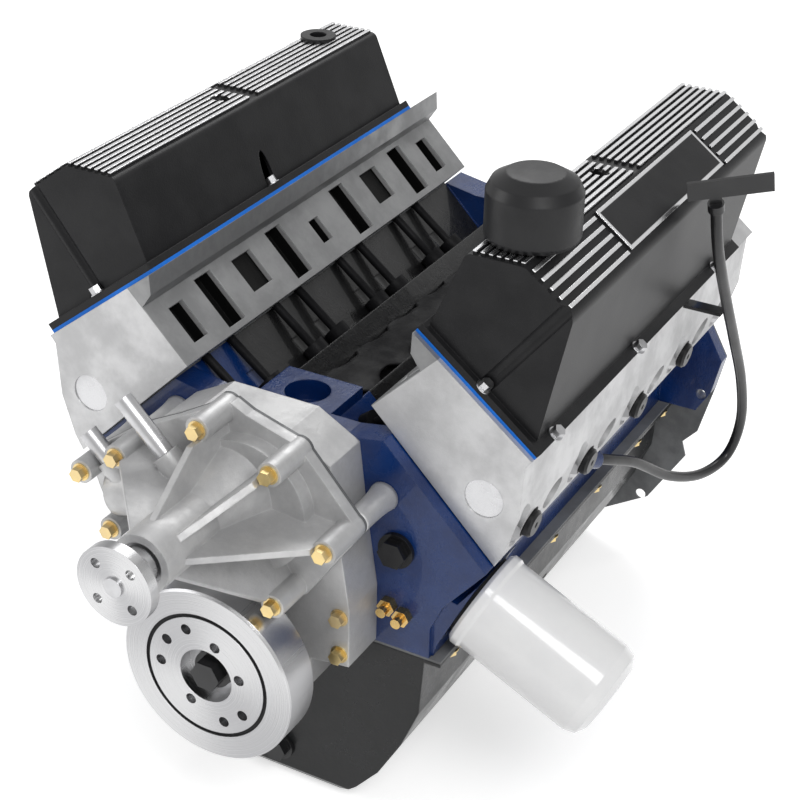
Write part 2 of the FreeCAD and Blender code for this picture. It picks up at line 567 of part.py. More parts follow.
def rod_and_piston(side, k):
    """One cylinder's piston, pin and rod, posed for the crankshaft's rest angle."""
    sign = BANKS[side]
    station = BORES[side][k]
    bank = math.radians(sign * plain(S.bank_angle))
    throw = math.radians(THROW_ANGLES[k] - plain(S.bank_angle))
    swing = throw - bank
    crank_radius = plain(S.stroke) / 2
    lean = math.asin(crank_radius * math.sin(swing) / plain(S.rod_length))
    pin_up = crank_radius * math.cos(swing) + plain(S.rod_length) * math.cos(lean)
    name = "%s_%d" % (side, k + 1)
    pin_at = (pin_up * math.sin(bank), station, pin_up * math.cos(bank))
    along = FreeCAD.Rotation(Y_AXIS, math.degrees(bank))
    piston = cut("piston_" + name, cylinder(
        "piston_blank_" + name, PISTON_RADIUS, S.piston_tall,
        (0.0, 0.0, S.pin_height - S.piston_tall)), [
            box("piston_room_" + name, (-S.rod_slot * 0.85, -S.rod_slot / 2, -60.0),
                (S.rod_slot * 1.7, S.rod_slot, S.pin_height - S.crown_thick + 60)),
            cylinder("wrist_bore_" + name, S.wrist_radius, S.bore_width,
                     (0.0, -BORE_RADIUS, 0.0), ALONG_Y)])
    place(piston, pin_at, along)
    wrist = cylinder("wrist_pin_" + name, S.wrist_radius, S.wrist_half * 2,
                     (pin_at[0], station - S.wrist_half, pin_at[2]), ALONG_Y)
    journal = S.rod_journal / 2
    ends = [cylinder("rod_big_" + name, journal + S.rod_shell + S.big_end_wall, S.rod_thick,
                     (0.0, -S.rod_thick / 2, -S.rod_length), ALONG_Y),
            cylinder("rod_small_" + name, rod_eye, S.rod_thick, (0.0, -S.rod_thick / 2, 0.0),
                     ALONG_Y),
            box("rod_beam_" + name, (-S.beam_wide / 2, -S.beam_thick / 2, -S.rod_length + 30),
                (S.beam_wide, S.beam_thick, S.rod_length - 40))]
    rod = cut("rod_" + name, fuse("rod_blank_" + name, ends), [
        cylinder("rod_big_bore_" + name, journal + S.oil_film, S.rod_thick + 2,
                 (0.0, -S.rod_thick / 2 - 1, -S.rod_length), ALONG_Y),
        cylinder("rod_small_bore_" + name, S.wrist_radius, S.rod_thick + 2,
                 (0.0, -S.rod_thick / 2 - 1, 0.0), ALONG_Y)])
    place(rod, pin_at, FreeCAD.Rotation(Y_AXIS, math.degrees(bank - lean)))
    return piston, wrist, rod


sets = [rod_and_piston(side, k) for side in BANKS for k in range(4)]
group("pistons", [piston for piston, wrist, rod in sets])
group("wrist_pins", [wrist for piston, wrist, rod in sets])
group("connecting_rods", [rod for piston, wrist, rod in sets])

# Camshaft, its bearings and the lifters
GEAR_FACE = FRONT - S.gear_stand - S.gear_wide
cam_pieces = [cylinder("cam_bar", S.cam_core, REAR - S.core_plug - GEAR_FACE,
                       (ZERO, GEAR_FACE, S.cam_height), ALONG_Y),
              cylinder("cam_bolt_head", S.cam_core + 6, 4.0,
                       (ZERO, GEAR_FACE - 4, S.cam_height), ALONG_Y)]
for k, station in enumerate(MAINS):
    cam_pieces.append(cylinder("cam_journal_%d" % k, S.cam_journal, S.bulkhead - 2,
                               (ZERO, station - S.bulkhead / 2 + 1, S.cam_height), ALONG_Y))
FIRING = {"right": [0, 270, 180, 90], "left": [180, 0, 270, 90]}
for side, sign in BANKS.items():
    for k, station in enumerate(BORES[side]):
        for hand in (-1, 1):
            turn = math.radians(FIRING[side][k] / 2 + 110 * hand)
            name = "%s_lobe_%d_%d" % (side, k, hand + 1)
            low = station + S.pushrod_split * hand - S.lobe_wide / 2
            reach = S.lobe_base + S.lobe_lift - S.lobe_tip
            cam_pieces.append(cylinder(name, S.lobe_base, S.lobe_wide,
                                       (ZERO, low, S.cam_height), ALONG_Y))
            cam_pieces.append(cylinder(name + "_tip", S.lobe_tip + 2, S.lobe_wide, (
                (reach - 2) * math.sin(turn), low, S.cam_height + (reach - 2) * math.cos(turn)),
                ALONG_Y))
node("camshaft", fuse("cam", cam_pieces))
cam_ring = turned("cam_bearing_pattern", [
    (S.cam_journal + S.oil_film, -S.bulkhead / 2), (S.cam_tunnel, -S.bulkhead / 2),
    (S.cam_tunnel, S.bulkhead / 2), (S.cam_journal + S.oil_film, S.bulkhead / 2)])
copies("cam_bearings", cam_ring, [spot((0, y, S.cam_height), ALONG_Y) for y in MAINS])
cam_plug = cylinder("cam_plug_disc", S.cam_tunnel, S.core_plug_deep + 1,
                    (ZERO, REAR - S.core_plug_deep - 3, S.cam_height), ALONG_Y)
LOBE_SWEEP = S.lobe_base + S.lobe_lift
tappet = cylinder("lifter_pattern", S.lifter_radius, S.lifter_long,
                  (0.0, 0.0, LOBE_SWEEP + S.lifter_gap))
rod_start = LOBE_SWEEP + S.lifter_gap + S.lifter_long
push = cylinder("pushrod_pattern", S.pushrod_radius, S.pushrod_long, (0.0, 0.0, rod_start))
lifter_spots = [
    spot(bank_point(sign, -CAM_UP, station + S.pushrod_split * hand, CAM_UP),
         bank_turn(sign, plain(S.lifter_lean)))
    for side, sign in BANKS.items() for station in BORES[side] for hand in (-1, 1)]
copies("lifters", tappet, lifter_spots)
copies("pushrods", push, lifter_spots)

# Timing gears and chain
TOOTH_RADIUS = S.gear_pitch * S.crank_teeth / (2 * math.pi)


def gear(name, teeth, bore, at):
    """A sprocket with blunt teeth, from two outlines of its rim."""
    root = plain(S.gear_pitch) * teeth / (2 * math.pi)
    tip = root + plain(S.tooth_deep)
    points = []
    for tooth in range(teeth):
        for share, radius in ((-0.28, root), (-0.12, tip), (0.12, tip), (0.28, root)):
            turn = 2 * math.pi * (tooth + share) / teeth
            points.append(FreeCAD.Vector(radius * math.cos(turn), 0, radius * math.sin(turn)))
    wire = Part.makePolygon(points + [points[0]])
    solid = Part.Face(wire).extrude(FreeCAD.Vector(0, plain(S.gear_wide), 0))
    hole = Part.makeCylinder(plain(bore), plain(S.gear_wide) + 2, FreeCAD.Vector(0, -1, 0), Y_AXIS)
    item = doc.addObject("Part::Feature", name)
    item.Shape = solid.cut(hole)
    item.Placement = spot(at)
    return node(name, item)


gear("crank_sprocket", int(plain(S.crank_teeth)), S.snout_radius, (0, GEAR_FACE, 0))
gear("cam_sprocket", 2 * int(plain(S.crank_teeth)), S.cam_core, (0, GEAR_FACE, S.cam_height))


def loop_face(radius_low, radius_high):
    """The outline of a belt round two circles on the crank and cam axes."""
    centre = plain(S.cam_height)
    slope = (radius_low - radius_high) / centre
    side = math.sqrt(1 - slope * slope)
    low, high = FreeCAD.Vector(0, 0, 0), FreeCAD.Vector(0, 0, centre)
    right, left = FreeCAD.Vector(side, 0, slope), FreeCAD.Vector(-side, 0, slope)
    corners = [low + right * radius_low, high + right * radius_high,
               high + left * radius_high, low + left * radius_low]
    edges = [
        Part.LineSegment(corners[0], corners[1]),
        Part.Arc(corners[1], high + Z_AXIS * radius_high, corners[2]),
        Part.LineSegment(corners[2], corners[3]),
        Part.Arc(corners[3], low - Z_AXIS * radius_low, corners[0]),
    ]
    return Part.Face(Part.Wire([edge.toShape() for edge in edges]))


def loop_bar(name, grow, start, length):
    """The solid of that outline, grown past the sprockets' teeth, between two stations."""
    low = plain(TOOTH_RADIUS + S.tooth_deep) + grow
    high = plain(TOOTH_RADIUS * 2 + S.tooth_deep) + grow
    item = doc.addObject("Part::Feature", name)
    item.Shape = loop_face(low, high).extrude(FreeCAD.Vector(0, plain(length), 0))
    item.Placement = spot((0, start, 0))
    return item


CHAIN_IN = plain(S.chain_gap)
CHAIN_OUT = CHAIN_IN + plain(S.chain_thick)
node("timing_chain", cut("chain", loop_bar("chain_outer", CHAIN_OUT, GEAR_FACE + 1,
                                           S.gear_wide - 2), [
                         loop_bar("chain_inner", CHAIN_IN, GEAR_FACE - 1, S.gear_wide + 2)]))

# Cylinder heads and their gaskets
HEAD_FOOT = S.deck_height + S.gasket_thick


def bank_box(name, sign, across, stations, ups):
    """A block in bank coordinates, from low and high values each way."""
    corner = across[0] if sign > 0 else across[1]
    return box(name, bank_point(sign, corner, stations[0], ups[0]),
               (across[1] - across[0], stations[1] - stations[0], ups[1] - ups[0]),
               bank_turn(sign))


def head_bolt_stations(side):
    """The five bolt stations of a bank, between and beyond its cylinders."""
    return [MIDDLE[side] + S.bore_spacing * (k - 2) for k in range(5)]


def valve_spot(sign, station):
    """The frame of a valve: on the chamber's floor plane, Z up the stem."""
    return spot(bank_point(sign, S.valve_across, station, HEAD_FOOT),
                bank_turn(sign, -plain(S.valve_tilt)))


RAIL_IN = bank_xz(-S.rail_in, S.rail_in_up)
RAIL_OUT = bank_xz(-S.rail_out, S.rail_out_up)
RAIL_RUN = (plain(RAIL_OUT[0]) - plain(RAIL_IN[0]), plain(RAIL_OUT[1]) - plain(RAIL_IN[1]))
RAIL_WIDE = math.hypot(*RAIL_RUN)
RAIL_COS, RAIL_SIN = RAIL_RUN[0] / RAIL_WIDE, -RAIL_RUN[1] / RAIL_WIDE
RAIL_TURN = math.degrees(math.atan2(RAIL_SIN, RAIL_COS))


def rail_xz(along, above):
    """A point in the XZ plane from the cover rail: outboard along it and above it (left)."""
    return (RAIL_IN[0] + along * RAIL_COS + above * RAIL_SIN,
            RAIL_IN[1] - along * RAIL_SIN + above * RAIL_COS)


def rail_point(sign, along, station, above):
    """The same point on either bank."""
    x, z = rail_xz(along, above)
    return x * sign, station, z


def rail_turn(sign):
    """The rotation that lays the XY plane on the cover rail."""
    return FreeCAD.Rotation(Y_AXIS, sign * RAIL_TURN)


def rail_box(name, sign, along, stations, above):
    """A block in rail coordinates, from low and high values each way."""
    corner = along[0] if sign > 0 else along[1]
    return box(name, rail_point(sign, corner, stations[0], above[0]),
               (along[1] - along[0], stations[1] - stations[0], above[1] - above[0]),
               rail_turn(sign))


HEAD_START = {side: stations[0] - S.head_ahead for side, stations in BORES.items()}
PORTS_AT = {side: station + S.port_shift for side, station in MIDDLE.items()}
COVER_START = {side: station + S.cover_back for side, station in HEAD_START.items()}


def cylinder_head(side):
    """One bare head: ports, chambers, guides, bolt seats and the rocker room."""
    sign = BANKS[side]
    start, end = HEAD_START[side], HEAD_START[side] + S.head_length
    section = [
        bank_xz(-S.intake_face, HEAD_FOOT), bank_xz(S.deck_out, HEAD_FOOT),
        bank_xz(S.exhaust_face, S.exhaust_low), bank_xz(S.exhaust_top, S.exhaust_up),
        bank_xz(-S.rail_out + 1, S.rail_out_up - 8), RAIL_OUT, RAIL_IN,
        bank_xz(-S.rail_in + 12, S.lip_up), bank_xz(-S.intake_face, S.lip_up - 3)]
    blank = plate(side + "_head_body", on_side(sign, section), start, S.head_length)
    room = plate(side + "_rocker_room", on_side(sign, [
        bank_xz(-S.rail_in + 12, S.rail_in_up + 20), bank_xz(-S.rail_in + 12, S.rail_in_up - 4),
        bank_xz(-S.intake_face + 9, S.rocker_floor), bank_xz(-S.rail_out - 18, S.rocker_floor),
        bank_xz(-S.rail_out - 12, S.rail_out_up + 20)]),
        COVER_START[side] + S.rail_wide, S.cover_length - S.rail_wide * 2)
    tools = [room]
    for k, station in enumerate(BORES[side]):
        name = "%s_%d" % (side, k)
        tools.append(bank_box("intake_port_" + name, sign, (-S.intake_face - 1,
                              -S.intake_face + S.port_deep),
                              (station + S.port_shift - S.port_wide / 2,
                               station + S.port_shift + S.port_wide / 2),
                              (S.port_low, S.port_high)))
        tools.append(cylinder("chamber_" + name, S.chamber_radius, S.chamber_deep + 20,
                              bank_point(sign, S.valve_across + 4.2, station, HEAD_FOOT - 20),
                              bank_turn(sign, -plain(S.valve_tilt))))
        tools.append(cylinder("exhaust_port_" + name, S.exhaust_port, S.exhaust_port_long,
                              bank_point(sign, S.exhaust_port_in, station + S.exhaust_shift,
                                         S.exhaust_port_up),
                              bank_turn(sign, plain(S.exhaust_lean))))
        tools.append(cylinder("plug_recess_" + name, S.plug_recess, S.exhaust_port_long,
                              bank_point(sign, S.plug_in, station - S.plug_shift, S.plug_up),
                              bank_turn(sign, plain(S.plug_lean))))
        for hand in (-1, 1):
            guide = cylinder("guide_%s_%d" % (name, hand + 1), S.stem_radius + S.guide_fit, 90.0,
                             (0.0, 0.0, 0.0))
            guide.Placement = valve_spot(sign, station + S.valve_split * hand)
            tools.append(guide)
            tools.append(cylinder(
                "pushrod_hole_%s_%d" % (name, hand + 1), S.pushrod_radius + 2, 130.0,
                bank_point(sign, -CAM_UP + 12.2, station + S.pushrod_split * hand, CAM_UP + 100),
                bank_turn(sign, plain(S.lifter_lean))))
    for hand in (-1, 1):
        water = PORTS_AT[side] + S.water_spread * hand
        tools.append(bank_box("water_port_%s_%d" % (side, hand + 1), sign, (
            -S.intake_face - 1, -S.intake_face + S.water_deep),
            (water - S.water_wide / 2, water + S.water_wide / 2), (S.water_low, S.water_high)))
        window = PORTS_AT[side] + S.bore_spacing * hand
        tools.append(bank_box("window_%s_%d" % (side, hand + 1), sign, (
            -S.intake_face - 1, -S.intake_face + 7),
            (window - 15.0, window + 15.0), (S.cross_low, S.port_high - 4)))
        end_face = start if hand < 0 else end
        tools.append(cylinder("cup_seat_%s_%d" % (side, hand + 1), S.head_cup, S.head_cup_deep + 1,
                              bank_point(sign, S.cup_across, end_face - (
                                  1 if hand < 0 else S.head_cup_deep), S.cup_up), ALONG_Y))
    tools.append(bank_box("crossover_" + side, sign, (-S.intake_face - 1, -S.intake_face + 14),
                          (PORTS_AT[side] - 8, PORTS_AT[side] + 8), (S.cross_low, S.cross_high)))
    for k, station in enumerate(head_bolt_stations(side)):
        tools.append(cylinder("bolt_seat_%s_%d" % (side, k), S.bolt_seat, 60.0,
                              bank_point(sign, S.outer_bolt, station, S.bolt_seat_up),
                              bank_turn(sign)))
    return node(side + "_cylinder_head", cut(side + "_head", blank, tools))


head_seals = []
for side in BANKS:
    cylinder_head(side)
    sign = BANKS[side]
    start = HEAD_START[side]
    gasket = bank_box(side + "_gasket_blank", sign, (-S.deck_in, S.deck_out),
                      (start + 10, start + S.head_length - 6), (S.deck_height, HEAD_FOOT))
    head_seals.append(cut(side + "_gasket", gasket, [
        cylinder("%s_gasket_hole_%d" % (side, k), BORE_RADIUS + 1, 6.0,
                 bank_point(sign, ZERO, station, S.deck_height - 2), bank_turn(sign))
        for k, station in enumerate(BORES[side])]))
group("head_gaskets", head_seals)
head_bolt = bolt("head_bolt_pattern", 15.0, 9.0)
bolt_places = []
for side, sign in BANKS.items():
    for station in head_bolt_stations(side):
        bolt_places.append(spot(bank_point(sign, S.outer_bolt, station, S.bolt_seat_up),
                                bank_turn(sign)))
    for station in head_bolt_stations(side)[1:4]:
        bolt_places.append(spot(bank_point(sign, -S.stud_across, station, S.rocker_floor),
                                bank_turn(sign)))
copies("head_bolts", head_bolt, bolt_places)
cup = cylinder("head_cup_pattern", S.head_cup, S.head_cup_deep - 1, (0.0, 0.0, 0.0), ALONG_Y)
cup_places = [spot(bank_point(sign, S.cup_across, station, S.cup_up))
              for side, sign in BANKS.items()
              for station in (HEAD_START[side] + 1,
                              HEAD_START[side] + S.head_length - S.head_cup_deep)]
doc.recompute()
core_plugs = doc.addObject("Part::Feature", "core_plug_set")
core_plugs.Shape = Part.makeCompound(
    [cup.Shape.transformed(there.toMatrix(), True) for there in cup_places] + [cam_plug.Shape])
node("core_plugs", core_plugs)

# Valves, springs, retainers and rockers
def valve(name, radius):
    """One valve on its chamber face, with the stem up."""
    return turned(name, [
        (ZERO, S.valve_base), (radius, S.valve_base), (radius, S.valve_base + 1.5),
        (S.stem_radius, S.valve_base + 3.4), (S.stem_radius, S.valve_base + S.valve_long),
        (ZERO, S.valve_base + S.valve_long)])


inlet = valve("intake_valve_pattern", S.intake_valve)
outlet = valve("exhaust_valve_pattern", S.exhaust_valve)
valve_places = {1: [], -1: []}
for side, sign in BANKS.items():
    for station in BORES[side]:
        for hand in (-1, 1):
            there = valve_spot(sign, station + S.valve_split * hand)
            valve_places[hand].append(there)
doc.recompute()
valves = doc.addObject("Part::Feature", "valve_set")
valves.Shape = Part.makeCompound([
    pattern.Shape.transformed(there.toMatrix(), True)
    for pattern, hand in ((inlet, 1), (outlet, -1)) for there in valve_places[hand]])
node("valves", valves)
spring = turned("valve_spring_pattern", [
    (S.spring_radius - S.spring_wall, S.spring_foot), (S.spring_radius, S.spring_foot),
    (S.spring_radius, S.spring_foot + S.spring_tall),
    (S.spring_radius - S.spring_wall, S.spring_foot + S.spring_tall)])
copies("valve_springs", spring, valve_places[1] + valve_places[-1])
keeper = turned("spring_retainer_pattern", [
    (S.stem_radius, S.spring_foot + S.spring_tall),
    (S.spring_radius, S.spring_foot + S.spring_tall),
    (S.spring_radius - 2, S.spring_foot + S.spring_tall + S.retainer_tall),
    (S.stem_radius, S.spring_foot + S.spring_tall + S.retainer_tall)])
copies("spring_retainers", keeper, valve_places[1] + valve_places[-1])
arm = plate("rocker_pattern", [
    (ZERO, ZERO), (S.rocker_long, ZERO), (S.rocker_long, S.rocker_thick / 2),
    (S.rocker_long * 0.66, S.rocker_thick), (S.rocker_long * 0.34, S.rocker_thick),
    (ZERO, S.rocker_thick / 2)], ZERO, S.rocker_wide)
copies("rocker_arms", arm, [
    spot(bank_point(sign, -S.rocker_in if sign > 0 else -S.rocker_in + S.rocker_long,
                    station + S.pushrod_split * hand + S.rocker_shift * hand - S.rocker_wide / 2,
                    S.rocker_up), bank_turn(sign))
    for side, sign in BANKS.items() for station in BORES[side] for hand in (-1, 1)])
stud = cylinder("rocker_stud_pattern", S.stud_radius, S.rocker_up - S.rocker_floor - 0.3,
                (0.0, 0.0, 0.0))
copies("rocker_studs", stud, [
    spot(bank_point(sign, -S.stud_across, station + S.pushrod_split * hand + S.rocker_shift * hand,
                    S.rocker_floor), bank_turn(sign))
    for side, sign in BANKS.items() for station in BORES[side] for hand in (-1, 1)])

# Valve covers
COVER_FOOT = S.cover_gasket
FACET_RUN = (plain(S.cover_out) - plain(S.cover_ridge), plain(S.cover_out_up) - plain(S.cover_top))
FACET_WIDE = math.hypot(*FACET_RUN)
FACET_TURN = math.degrees(math.atan2(-FACET_RUN[1], FACET_RUN[0]))


def cover_bolt_spots(side):
    """Where a cover's bolts stand on its flange, as (along, station) in rail coordinates."""
    start = COVER_START[side]
    half = S.cover_inset / 2
    spots = [(half, start + S.flute_inboard), (RAIL_WIDE / 2 + ZERO, start + half),
             (RAIL_WIDE / 2 + ZERO, start + S.cover_length - half)]
    for share in (S.flute_low, S.flute_mid, S.flute_high):
        spots.append((RAIL_WIDE - half, start + S.cover_length * share))
    return spots


def facet_point(sign, along, station):
    """A point on the outboard facet, measured down from the ridge."""
    return ((S.cover_ridge + along * (FACET_RUN[0] / FACET_WIDE)) * sign, station,
            S.cover_top + along * (FACET_RUN[1] / FACET_WIDE))


def facet_box(name, sign, along, stations, tall):
    """A thin block that stands on the outboard facet."""
    corner = along[0] if sign > 0 else along[1]
    return box(name, facet_point(sign, corner, stations[0]),
               (along[1] - along[0], stations[1] - stations[0], tall),
               FreeCAD.Rotation(Y_AXIS, sign * FACET_TURN))


def valve_cover(side):
    """One cast cover: a hollow roof of two facets with ribs, flutes and a bolted flange."""
    sign = BANKS[side]
    start, end = COVER_START[side], COVER_START[side] + S.cover_length
    inset = S.cover_inset
    roof = [rail_xz(inset, COVER_FOOT), rail_xz(RAIL_WIDE - inset, COVER_FOOT),
            (S.cover_out, S.cover_out_up), (S.cover_ridge, S.cover_top),
            (S.cover_top_in, S.cover_top)]
    wall = S.cover_wall
    hollow = [rail_xz(inset + wall, -ZERO - 1), rail_xz(RAIL_WIDE - inset - wall, -ZERO - 1),
              (S.cover_out - wall * 1.1, S.cover_out_up - wall * 0.4),
              (S.cover_ridge - wall * 0.35, S.cover_top - wall),
              (S.cover_top_in + wall * 1.1, S.cover_top - wall)]
    body = plate(side + "_cover_roof", on_side(sign, roof), start + inset,
                 S.cover_length - inset * 2, {2: 9.0, 3: 5.0, 4: 7.0})
    flange = rail_box(side + "_cover_flange", sign, (ZERO, RAIL_WIDE + ZERO), (start, end),
                      (COVER_FOOT, COVER_FOOT + S.cover_flange))
    pieces = [body, flange]
    rib_start, rib_end = start + inset + 2, end - inset - 2
    halt, restart = start + S.rib_break, start + S.rib_break + S.rib_break_wide
    pitch = (S.cover_ridge - S.cover_top_in - 8) / (S.rib_count - 1)
    for k in range(int(plain(S.rib_count))):
        centre = S.cover_top_in + 6 + pitch * k
        low = centre * sign - S.rib_wide / 2
        for part, (near, far) in enumerate(((rib_start, halt), (restart, rib_end))):
            pieces.append(box("%s_rib_%d_%d" % (side, k, part), (low, near, S.cover_top - 1),
                              (S.rib_wide, far - near, S.rib_tall + 1)))
    for k in range(5):
        along = FACET_WIDE * (k + 0.7) / 5.6 + ZERO
        for part, (near, far) in enumerate(((rib_start, start + S.badge_front),
                                            (start + S.badge_rear, rib_end))):
            pieces.append(facet_box("%s_outer_rib_%d_%d" % (side, k, part), sign,
                                    (along - S.rib_wide / 2, along + S.rib_wide / 2),
                                    (near, far), S.rib_tall))
    pieces.append(facet_box(side + "_badge_panel", sign, (ZERO + 3, FACET_WIDE - 8 + ZERO),
                            (start + S.badge_front + 6, start + S.badge_rear - 6), S.rib_tall))
    tools = [plate(side + "_cover_hollow", on_side(sign, hollow), start + inset + wall,
                   S.cover_length - (inset + wall) * 2)]
    for k, (along, station) in enumerate(cover_bolt_spots(side)):
        tools.append(cylinder("%s_cover_flute_%d" % (side, k), S.flute_radius, 160.0,
                              rail_point(sign, along, station, COVER_FOOT + S.cover_flange),
                              rail_turn(sign)))
    if side == "left":
        station = start + S.cap_station
        pieces.append(cylinder("filler_neck", S.neck_radius, S.neck_tall + wall,
                               (S.cap_across, station, S.cover_top - wall)))
        tools.append(cylinder("filler_hole", S.neck_radius - S.neck_wall, S.neck_tall + 30,
                              (S.cap_across, station, S.cover_top - 15)))
    else:
        station = start + S.grommet_station
        tools.append(cylinder("grommet_seat", S.grommet_radius - 4, 40.0,
                              (-S.grommet_across, station, S.cover_top - 15)))
        tools.append(cylinder("grommet_land", S.grommet_radius, 20.0,
                              (-S.grommet_across, station, S.cover_top)))
    return node(side + "_valve_cover", cut(side + "_cover", fuse(side + "_cover_casting", pieces),
                                           tools))


cover_seals = []
for side in BANKS:
    valve_cover(side)
    sign, start = BANKS[side], COVER_START[side]
    end = start + S.cover_length
    strip = S.cover_inset + 2
    cover_seals.append(cut(side + "_cover_seal", rail_box(
        side + "_seal_blank", sign, (ZERO, RAIL_WIDE + ZERO), (start, end), (ZERO, COVER_FOOT)), [
            rail_box(side + "_seal_window", sign, (strip, RAIL_WIDE - strip),
                     (start + strip, end - strip), (-COVER_FOOT, COVER_FOOT * 2))]))
group("valve_cover_gaskets", cover_seals)
cover_bolt = bolt("cover_bolt_pattern", 9.0, 6.0)
copies("valve_cover_bolts", cover_bolt, [
    spot(rail_point(BANKS[side], along, station, COVER_FOOT + S.cover_flange),
         rail_turn(BANKS[side]))
    for side in BANKS for along, station in cover_bolt_spots(side)])
cap_seat = S.cover_top + S.cap_lift
node("breather_cap", turned("breather", [
    (S.neck_radius + S.cap_gap, ZERO), (S.cap_radius - 2, ZERO), (S.cap_radius, S.cap_skirt * 0.1),
    (S.cap_radius, S.cap_skirt), (S.cap_radius - 4, S.cap_skirt + S.cap_dome * 0.5),
    (S.cap_radius * 0.6, S.cap_skirt + S.cap_dome * 0.9), (ZERO, S.cap_skirt + S.cap_dome),
    (ZERO, S.neck_tall - S.cap_lift + 1), (S.neck_radius + S.cap_gap, S.neck_tall - S.cap_lift + 1)],
    (S.cap_across, COVER_START["left"] + S.cap_station, cap_seat)))
node("cover_grommet", turned("grommet", [
    (S.grommet_hole, -S.cover_wall), (S.grommet_radius - 4, -S.cover_wall),
    (S.grommet_radius - 4, ZERO), (S.grommet_radius, ZERO), (S.grommet_radius, S.grommet_tall),
    (S.grommet_hole, S.grommet_tall)],
    (-S.grommet_across, COVER_START["right"] + S.grommet_station, S.cover_top)))

# Spark plugs with their caps, seated in the recesses of the exhaust side
plug = fuse("spark_plug_pattern", [
    cylinder("spark_plug_hexagon", S.plug_hex, 3.0, (0.0, 0.0, 0.0)),
    turned("spark_plug_cap", [
        (ZERO, ZERO + 2.5), (S.plug_cap, ZERO + 2.5), (S.plug_cap, S.plug_cap_long - 2),
        (S.plug_cap - 2, S.plug_cap_long), (S.plug_cap / 4, S.plug_cap_long),
        (ZERO, S.plug_cap_long - 2)])])
copies("spark_plugs", plug, [
    spot(bank_point(sign, S.plug_in, station - S.plug_shift, S.plug_up),
         bank_turn(sign, plain(S.plug_lean)))
    for side, sign in BANKS.items() for station in BORES[side]])

# Timing cover, its seal and bolts
CASE_FACE = FRONT - S.case_deep
case_outline = both_halves([
    (S.case_foot / 2, -S.case_drop), (S.case_foot, -S.case_drop * 0.62),
    (S.case_foot + 4, ZERO - 2), (S.case_half, ZERO + 2), (S.case_half, S.case_shoulder),
    (S.case_waist, S.cam_height), (S.case_neck, S.wall_top), (S.case_top, S.case_high)])
case_body = plate("timing_case_body", case_outline, CASE_FACE, S.case_deep)
case_room = S.case_deep - S.case_wall
node("timing_cover", cut("timing_case", case_body, [
    cylinder("case_cam_room", S.case_cam_room, case_room + 1,
             (ZERO, CASE_FACE + S.case_wall, S.cam_height), ALONG_Y),
    cylinder("case_crank_room", S.case_crank_room, case_room + 1,
             (ZERO, CASE_FACE + S.case_wall, ZERO), ALONG_Y),
    plate("case_middle_room", both_halves([
        (S.case_crank_room, ZERO), (S.case_cam_room, S.cam_height)]),
        CASE_FACE + S.case_wall, case_room + 1),
    cylinder("case_seal_hole", S.damper_sleeve + S.seal_wall, S.case_wall + 2,
             (ZERO, CASE_FACE - 1, ZERO), ALONG_Y)]))
front_seal = turned("front_seal", [
    (S.damper_sleeve + S.oil_film, ZERO), (S.damper_sleeve + S.seal_wall, ZERO),
    (S.damper_sleeve + S.seal_wall, S.case_wall), (S.damper_sleeve + S.oil_film, S.case_wall)],
    (ZERO, CASE_FACE, ZERO), ALONG_Y)
group("crankshaft_seals", [front_seal, rear_seal])
case_bolt_places = [spot((x, CASE_FACE, z), TO_FRONT) for x, z in (
    (S.case_half - 9, 49.0), (S.case_half - 9, 12.0), (-S.case_half + 9, 12.0))]

# Water pump: back plate, ribbed housing, hub on its shaft and the impeller behind it
PLATE_FACE = CASE_FACE - S.pump_plate
RIM_FACE = PLATE_FACE - S.pump_rim
HUB_FACE = FRONT - S.pump_face
NOSE_END = FRONT - S.pump_nose_end
PUMP_BOLTS = [(-12.0, 220.0, 95.0), (53.0, 200.0, 95.0), (101.0, 145.0, 95.0), (54.0, 78.0, 95.0),
              (-96.0, 167.0, 90.0), (-136.0, 138.0, 85.0), (-117.0, 83.0, 75.0)]
pump_outline = [(-20.0, 222.0), (-4.0, 229.0), (10.0, 222.0), (58.0, 208.0), (106.0, 154.0),
                (109.0, 138.0), (64.0, 72.0), (48.0, 68.0), (14.0, 86.0), (-40.0, 92.0),
                (-110.0, 75.0), (-126.0, 82.0), (-138.0, 112.0), (-146.0, 136.0), (-138.0, 148.0),
                (-98.0, 178.0), (-60.0, 198.0)]
pump_points = [(ZERO + x, ZERO + z) for x, z in pump_outline]
pump_back = plate("pump_plate_body", pump_points, PLATE_FACE, S.pump_plate)
pump_bore = cylinder("pump_plate_bore", S.pump_boss, S.pump_plate + 2,
                     (ZERO, PLATE_FACE - 1, S.pump_height), ALONG_Y)
plate_ears = [cylinder("pump_plate_ear_%d" % k, S.pump_column, S.pump_plate,
                       (x, PLATE_FACE, z), ALONG_Y) for k, (x, z, reach) in enumerate(PUMP_BOLTS)]
node("water_pump_backplate", cut("pump_backplate", fuse("pump_plate_blank",
                                                        [pump_back] + plate_ears), [pump_bore]))
pump_rim = plate("pump_rim_body", pump_points, RIM_FACE, S.pump_rim)
pump_cone = cone("pump_bell", S.pump_nose_radius, S.pump_bell, S.pump_bell_long,
                 (ZERO, RIM_FACE - S.pump_bell_long, S.pump_height), ALONG_Y)
pump_nose = cylinder("pump_nose", S.pump_nose_radius, RIM_FACE - NOSE_END,
                     (ZERO, NOSE_END, S.pump_height), ALONG_Y)
pump_volute = cylinder("pump_volute", S.pump_volute, S.pump_rim + 14,
                       (ZERO + 14, RIM_FACE - 14, S.pump_height - 8), ALONG_Y)
pump_columns = [cylinder("pump_column_%d" % k, S.pump_column, reach + PLATE_FACE - FRONT,
                         (x, FRONT - reach, z), ALONG_Y)
                for k, (x, z, reach) in enumerate(PUMP_BOLTS)]
pump_passage = cylinder("pump_passage", S.pump_passage, 112.0, (-6.0, RIM_FACE - 4, 150.0),
                        FreeCAD.Rotation(Z_AXIS, FreeCAD.Vector(-112, 0, -34)))
tap_rise = FreeCAD.Rotation(Y_AXIS, -45)
